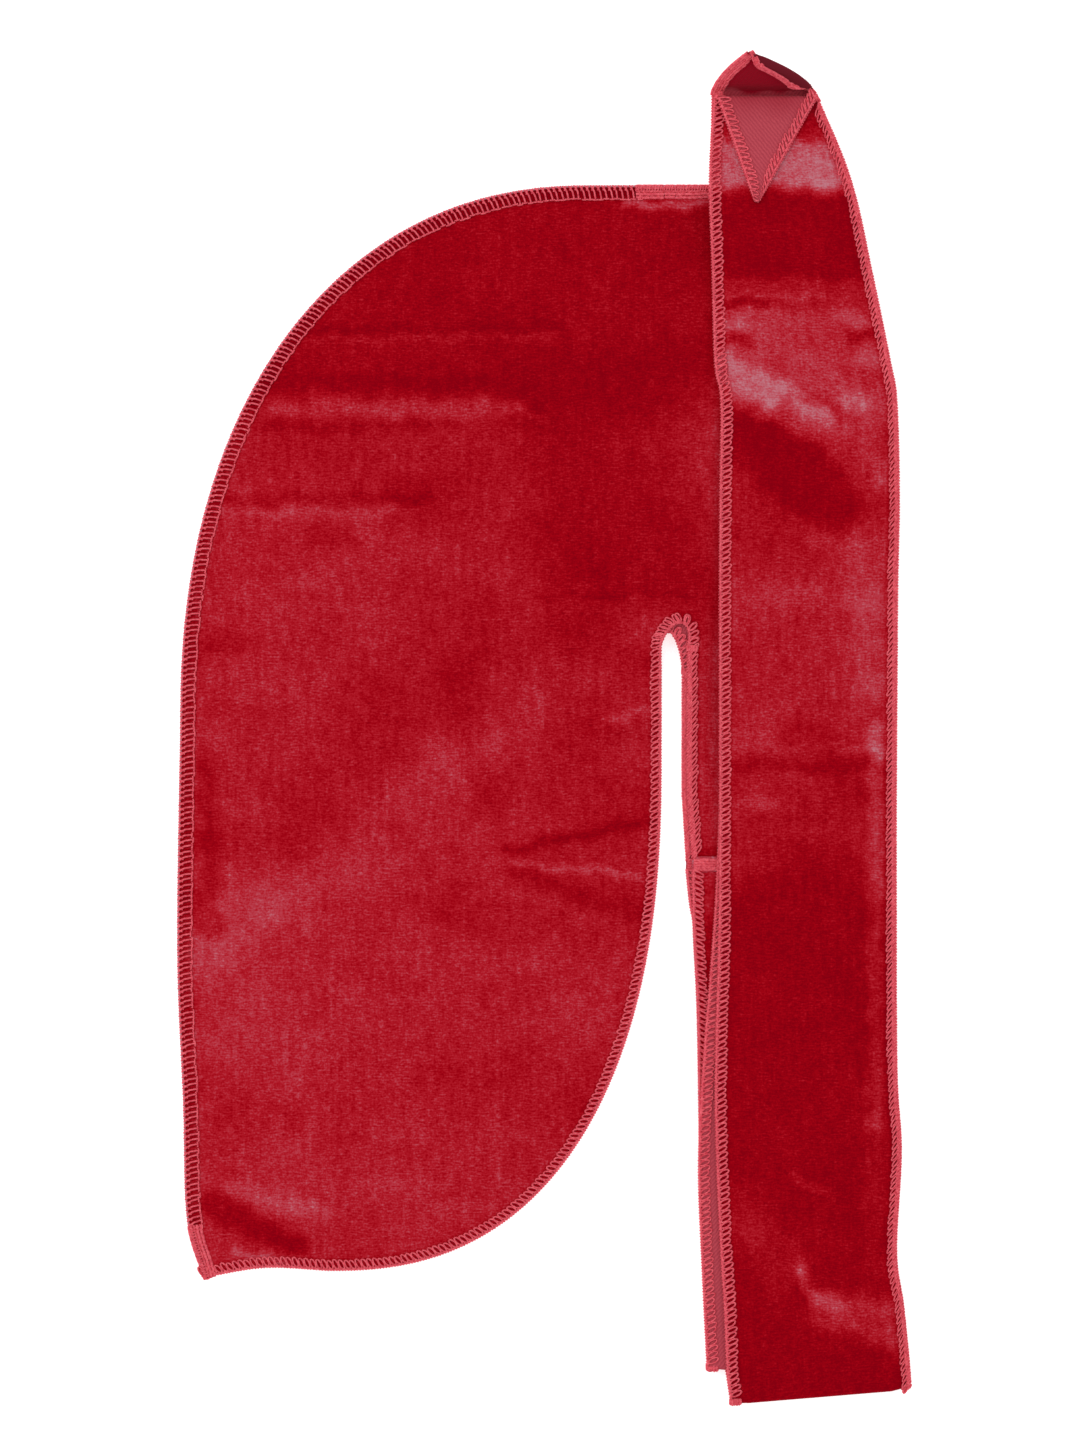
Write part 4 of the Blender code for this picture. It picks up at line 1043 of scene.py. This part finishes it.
def panel_guides(root, height, width):
    """Guides along the hem with its notch, and along the front hem, of one half of the cap."""
    guides = []
    for side in panel_sides(root)[1::2]:
        edge, inner = [np.column_stack([line, np.maximum(height(*line.T), FLOOR_EDGE)])
                       for line in (side, side + width * inward(side))]
        beside_root = (side[:, 0] > root.notch_right - 1.0) & (side[:, 1] < root.notch_shoulder)
        guides.append(Guide(edge, inner, np.where(beside_root, SLANTED, LOOPED), HEM_SHARE))
    # a second row over the notch's arch, half a stitch on, closes the fan
    arch = guides[0].edge[:, 1] > root.notch_shoulder
    between = [(line[arch][1:] + line[arch][:-1]) / 2 for line in guides[0][:2]]
    return guides + [Guide(*between, LOOPED, HEM_SHARE)]


def tie_guides(grid, width):
    """Guides up the right edge of a tie and down its left edge."""
    guides = []
    sewn = grid[:-TIP_UNSEWN]
    travel = np.gradient(grid, axis=0)
    steep = np.abs(travel[:, :, 2]) > STEEP * np.linalg.norm(travel, axis=2)
    turned = steep[:, [0, -1]]
    # the stitches beside a fold lie flat as well
    turned[1:] |= turned[:-1]
    turned[:-1] |= turned[1:]
    # a tip that stands up is pulled flat all over, and narrow where it rolls
    standing = turned[-TIP_ROWS:].mean(axis=0) > 0.5
    turned[-TIP_ROWS:] |= standing
    right_share = np.full(len(grid), RIGHT_SHARE)
    right_share[-TIP_ROWS:] = ROLLED_SHARE if standing[1] else RIGHT_SHARE
    turned = turned[:-TIP_UNSEWN]
    for line, flat, kind, most in ((sewn[:, ::-1], turned[:, 1], SLANTED, right_share),
                                   (sewn[::-1], turned[::-1, 0], LOOPED, np.ones(len(grid)))):
        inner, shares = [], []
        for row, lengths, share in zip(line, lengths_along(line, 1), most):
            reach = min(width, lengths[-1] / 2)
            inner.append([np.interp(reach, lengths, row[:, axis]) for axis in range(3)])
            shares.append(share * reach / width)
        edge, inner = line[:, 0].copy(), np.array(inner)
        for points in (edge, inner):
            points[:, 2] = np.maximum(points[:, 2], FLOOR_EDGE)
        guides.append(Guide(edge, inner, np.where(flat, FLAT, kind), np.array(shares)))
    return guides


# Settings

def shade_of(name, description, value):
    """A colour among the settings."""
    return bpy.props.FloatVectorProperty(name=name, description=description, subtype="COLOR",
                                         default=linear(value))


def number_of(name, description, value, **more):
    """A number among the settings."""
    return bpy.props.FloatProperty(name=name, description=description, default=value, **more)


def length_of(name, description, value):
    """A length among the settings."""
    return number_of(name, description, value, unit="LENGTH")


class DuragCloth(bpy.types.PropertyGroup):
    """Colours and finish of the velvet, its reverse and its thread."""
    pile_deep: shade_of("Deep pile", "Velvet where the pile is darkest", "#840010")
    pile_dark: shade_of("Smooth pile", "Velvet with its pile laid smooth", "#9C0312")
    pile: shade_of("Pile", "Velvet as most of it looks", "#AE1A28")
    pile_brushed: shade_of("Brushed pile", "Velvet where it was brushed", "#B73F4D")
    pile_light: shade_of("Pale pile", "Velvet brushed against its nap", "#BC7783")
    pile_shaded: shade_of("Shaded pile", "Velvet at the back of a curl", "#661A24")
    mottle: number_of("Mottle", "How uneven the pile looks", 1.0, min=0.0, max=3.0)
    sheen: number_of("Sheen", "Paleness of the pile seen side on", 0.2, min=0.0, max=1.0, subtype="FACTOR")
    reverse: shade_of("Reverse", "Ribs of the knitted reverse", "#BE4C57")
    reverse_dark: shade_of("Reverse grooves", "Grooves of the knitted reverse", "#A23846")
    reverse_shaded: shade_of("Shaded reverse", "Reverse at the back of a curl", "#8C001A")
    rib: number_of("Rib", "Spacing of the ribs of the reverse in millimetres", 1.3)
    thread: shade_of("Thread", "Overlock thread", "#F06C78")
    thread_dark: shade_of("Thread shade", "Darker fluff of the thread", "#CA3E4E")


class DuragStitches(bpy.types.PropertyGroup):
    """Sizes of the overlock stitches."""
    pitch: length_of("Pitch", "From one stitch to the next", 2.52 * MM)
    width: length_of("Width", "From the edge to the needle line", 4.9 * MM)
    thread_radius: length_of("Thread radius", "Half the thickness of the thread", 0.38 * MM)
    lean: number_of("Lean", "How far the inner end of a stitch lies along the edge, in pitches", -0.78)
    steep_lean: number_of("Steep lean", "The same along the right edge of a tie", -1.8)
    unevenness: number_of("Unevenness", "Share by which stitches turn and stretch", 0.06)
    seam_pitch: length_of("Crown seam pitch", "Pitch of the crown seam", 2.4 * MM)
    seam_width: length_of("Crown seam width", "Width of the crown seam", 6.1 * MM)


class DuragStage(bpy.types.PropertyGroup):
    """Floor, light and camera."""
    height: length_of("Camera height", "Of the camera above the floor", 3.0)
    view: length_of("View height", "Length of floor that the picture shows", 0.6284)
    centre: bpy.props.FloatVectorProperty(name="View centre", description="Where the camera looks",
                                          unit="LENGTH", size=2, default=(-0.0003, 0.0015))
    floor: shade_of("Floor", "Colour of the floor", "#F6F6F6")
    glow: number_of("Floor glow", "Light of the floor itself, which burns the background out to white", 0.55)
    sky: number_of("Sky", "Strength of the even light", 0.85)
    key: number_of("Key light", "Power of the soft key light", 14.0)


# Operators

def show(piece, slot, *nodes):
    """Let a piece ride on the durag's body and hide the solids it replaces. Its slot is not used."""
    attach(piece, BODY)
    if nodes:
        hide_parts(*nodes)


def show_cloth(piece_name, surface, sides, solid):
    """A piece of cloth that takes the place of its solid."""
    piece = cloth_piece(piece_name, surface, *sides)
    show(piece, "velvet", solid)
    return piece


class DURAG_OT_halves(bpy.types.Operator):
    """Lay the two velvet halves of the cap and sew their hems"""
    bl_idname = "durag.halves"
    bl_label = "Halves of the cap"

    def execute(self, context):
        pile, reverse = cloth_sides()
        width = context.scene.durag_stitches.width / MM
        for seed, (name, root, height, step, sides) in enumerate((
                ("right_panel", RIGHT_ROOT, near_height, NEAR_STEP, (pile, reverse)),
                ("left_panel", LEFT_ROOT, far_height, FAR_STEP, (reverse, pile)))):
            piece = show_cloth(name + "_velvet", panel_surface(root, height, step, width), sides, name)
            hem = sew(name + "_hem", panel_guides(root, height, width), width, PRESSED, seed)
        return {"FINISHED"}


class DURAG_OT_ties(bpy.types.Operator):
    """Lay the two folded ties and sew their edges"""
    bl_idname = "durag.ties"
    bl_label = "Ties"

    def execute(self, context):
        pile, reverse = cloth_sides()
        width = context.scene.durag_stitches.width / MM
        laid = lay_ties()
        for seed, (name, sides, length, area) in enumerate((
                ("right_strap", (reverse, pile), 0.810, 0.0586),
                ("left_strap", (pile, reverse), 0.846, 0.0620)), start=2):
            piece = show_cloth(name + "_velvet", tie_surface(laid[name], width), sides, name)
            edging = sew(name + "_edging", tie_guides(laid[name], width), width, PRESSED, seed)
        return {"FINISHED"}


class DURAG_OT_crown_seam(bpy.types.Operator):
    """Sew the crown seam that joins the two halves"""
    bl_idname = "durag.crown_seam"
    bl_label = "Crown seam"

    def execute(self, context):
        stitches = context.scene.durag_stitches
        path = seam_path()
        normals = inward(path)
        across = np.linspace(SEAM_COVER_FROM, SEAM_WALL + SEAM_GAP, len(SEAM_BULGE))
        lines = path[None] + across[::-1, None, None] * normals[None]
        cover = seam_cover(lines[:, :, 0], lines[:, :, 1], SEAM_MIDDLE, np.array(SEAM_BULGE)[:, None])
        show_cloth("crown_seam_cover", cover, cloth_sides(), "crown_seam")
        width = stitches.seam_width / MM
        edge = np.insert(path + SEAM_WALL / 2 * normals, 2, SEAM_MIDDLE, axis=1)
        inner = edge + width * np.insert(normals, 2, 0.0, axis=1)
        front, back = np.searchsorted(-path[:, 0], -SEAM_FLAT_X), np.argmax(path[:, 1] < SEAM_FLAT_Y)
        guides = [Guide(edge[start:end + 1], inner[start:end + 1], kind, 1.0)
                  for start, end, kind in ((0, front, FLAT), (front, back, LOOPED), (back, len(path), FLAT))]
        sew("crown_seam_stitches", guides, width, SEAM_HALF, 5, stitches.seam_pitch, SEAM_LEAN, BARS)
        return {"FINISHED"}


class DURAG_OT_tie_seams(bpy.types.Operator):
    """Sew the seams across the roots of the two ties"""
    bl_idname = "durag.tie_seams"
    bl_label = "Tie seams"

    def execute(self, context):
        low, high = TIE_SEAM
        for seed, (name, root, bottom) in enumerate((
                ("right_tie_seam", RIGHT_ROOT, TIE_SEAM_THICK + GAP),
                ("left_tie_seam", LEFT_ROOT, 0.0)), start=8):
            left, right = root.corner_x, root.corner_x + STRAP_WIDTH
            middle = bottom + TIE_SEAM_THICK / 2
            lapped = np.linspace(low - TIE_SEAM_LAP, high + TIE_SEAM_LAP, TIE_SEAM_ROWS)
            x, y = np.meshgrid(np.linspace(left, right, COLUMNS + 1), lapped)
            bulge = TIE_SEAM_BULGE * np.sin(np.linspace(0.0, math.pi, TIE_SEAM_ROWS))[:, None]
            show_cloth(name + "_cover", seam_cover(x, y, middle, bulge), cloth_sides(), name)
            x = np.arange(left + 2.0, right - 1.0, EDGE_STEP)
            edge, inner = [np.column_stack([x, np.full(len(x), side), np.full(len(x), middle)])
                           for side in (low + TIE_SEAM_INSET, high)]
            width = high - low - TIE_SEAM_INSET
            sew(name + "_stitches", [Guide(edge, inner, FLAT, 1.0)], width, PRESSED, seed)
        return {"FINISHED"}


class DURAG_OT_stage(bpy.types.Operator):
    """Set the pale floor, the soft studio light and the camera straight above"""
    bl_idname = "durag.stage"
    bl_label = "Stage"

    def execute(self, context):
        scene, stage = context.scene, context.scene.durag_stage
        scene.view_settings.view_transform = "Standard"
        mesh = bpy.data.meshes.new("studio_floor")
        corners = [(x * FLOOR_SIZE, y * FLOOR_SIZE, 0) for x, y in ((-1, -1), (1, -1), (1, 1), (-1, 1))]
        mesh.from_pydata(corners, [], [(0, 1, 2, 3)])
        paper = bpy.data.materials.new("studio_paper")
        paper.use_nodes = True
        shader = paper.node_tree.nodes["Principled BSDF"]
        for key, value in (("Base Color", (*stage.floor, 1.0)), ("Roughness", 0.9),
                           ("Specular IOR Level", 0.0), ("Emission Color", (1.0, 1.0, 1.0, 1.0)),
                           ("Emission Strength", stage.glow)):
            shader.inputs[key].default_value = value
        mesh.materials.append(paper)
        link("studio_floor", mesh)

        world = bpy.data.worlds.new("studio")
        world.use_nodes = True
        sky = world.node_tree.nodes["Background"]
        sky.inputs["Color"].default_value = (1.0, 1.0, 1.0, 1.0)
        sky.inputs["Strength"].default_value = stage.sky
        scene.world = world
        for name, place_at, weaker in LAMPS:
            lamp = bpy.data.lights.new(name, "AREA")
            lamp.shape = "SQUARE"
            lamp.size = LAMP_SIZE
            lamp.energy = stage.key / weaker
            light = link(name + "_light", lamp)
            light.location = place_at
            light.rotation_euler = Vector(place_at).to_track_quat("Z", "Y").to_euler()

        lens = bpy.data.cameras.new("above")
        lens.sensor_width = 36.0
        lens.lens = lens.sensor_width * stage.height / stage.view
        lens.clip_end = 20.0
        camera = link("camera", lens)
        camera.location = (*stage.centre, stage.height)
        scene.camera = camera
        return {"FINISHED"}


STEPS = (DURAG_OT_halves, DURAG_OT_ties, DURAG_OT_crown_seam, DURAG_OT_tie_seams, DURAG_OT_stage)
GROUPS = {"durag_cloth": DuragCloth, "durag_stitches": DuragStitches, "durag_stage": DuragStage}


class DURAG_PT_panel(bpy.types.Panel):
    """Lists the settings and steps of the durag"""
    bl_label = "Durag"
    bl_idname = "DURAG_PT_panel"
    bl_space_type = "VIEW_3D"
    bl_region_type = "UI"
    bl_category = "Durag"

    def draw(self, context):
        for group in (getattr(context.scene, name) for name in GROUPS):
            box = self.layout.box()
            for name in group.bl_rna.properties.keys():
                if name not in ("rna_type", "name"):
                    box.prop(group, name)
        for step in STEPS:
            self.layout.operator(step.bl_idname)


CLASSES = (*GROUPS.values(), *STEPS, DURAG_PT_panel)


def register():
    """Add the durag's settings, operators and panel."""
    for kind in CLASSES:
        bpy.utils.register_class(kind)
    for name, group in GROUPS.items():
        setattr(bpy.types.Scene, name, bpy.props.PointerProperty(type=group))


def unregister():
    """Take the durag's settings, operators and panel away."""
    for name in GROUPS:
        delattr(bpy.types.Scene, name)
    for kind in reversed(CLASSES):
        bpy.utils.unregister_class(kind)


def main():
    """Make every piece in order."""
    register()
    for step in STEPS:
        group, name = step.bl_idname.split(".")
        getattr(getattr(bpy.ops, group), name)()


if __name__ == "__main__":
    main()
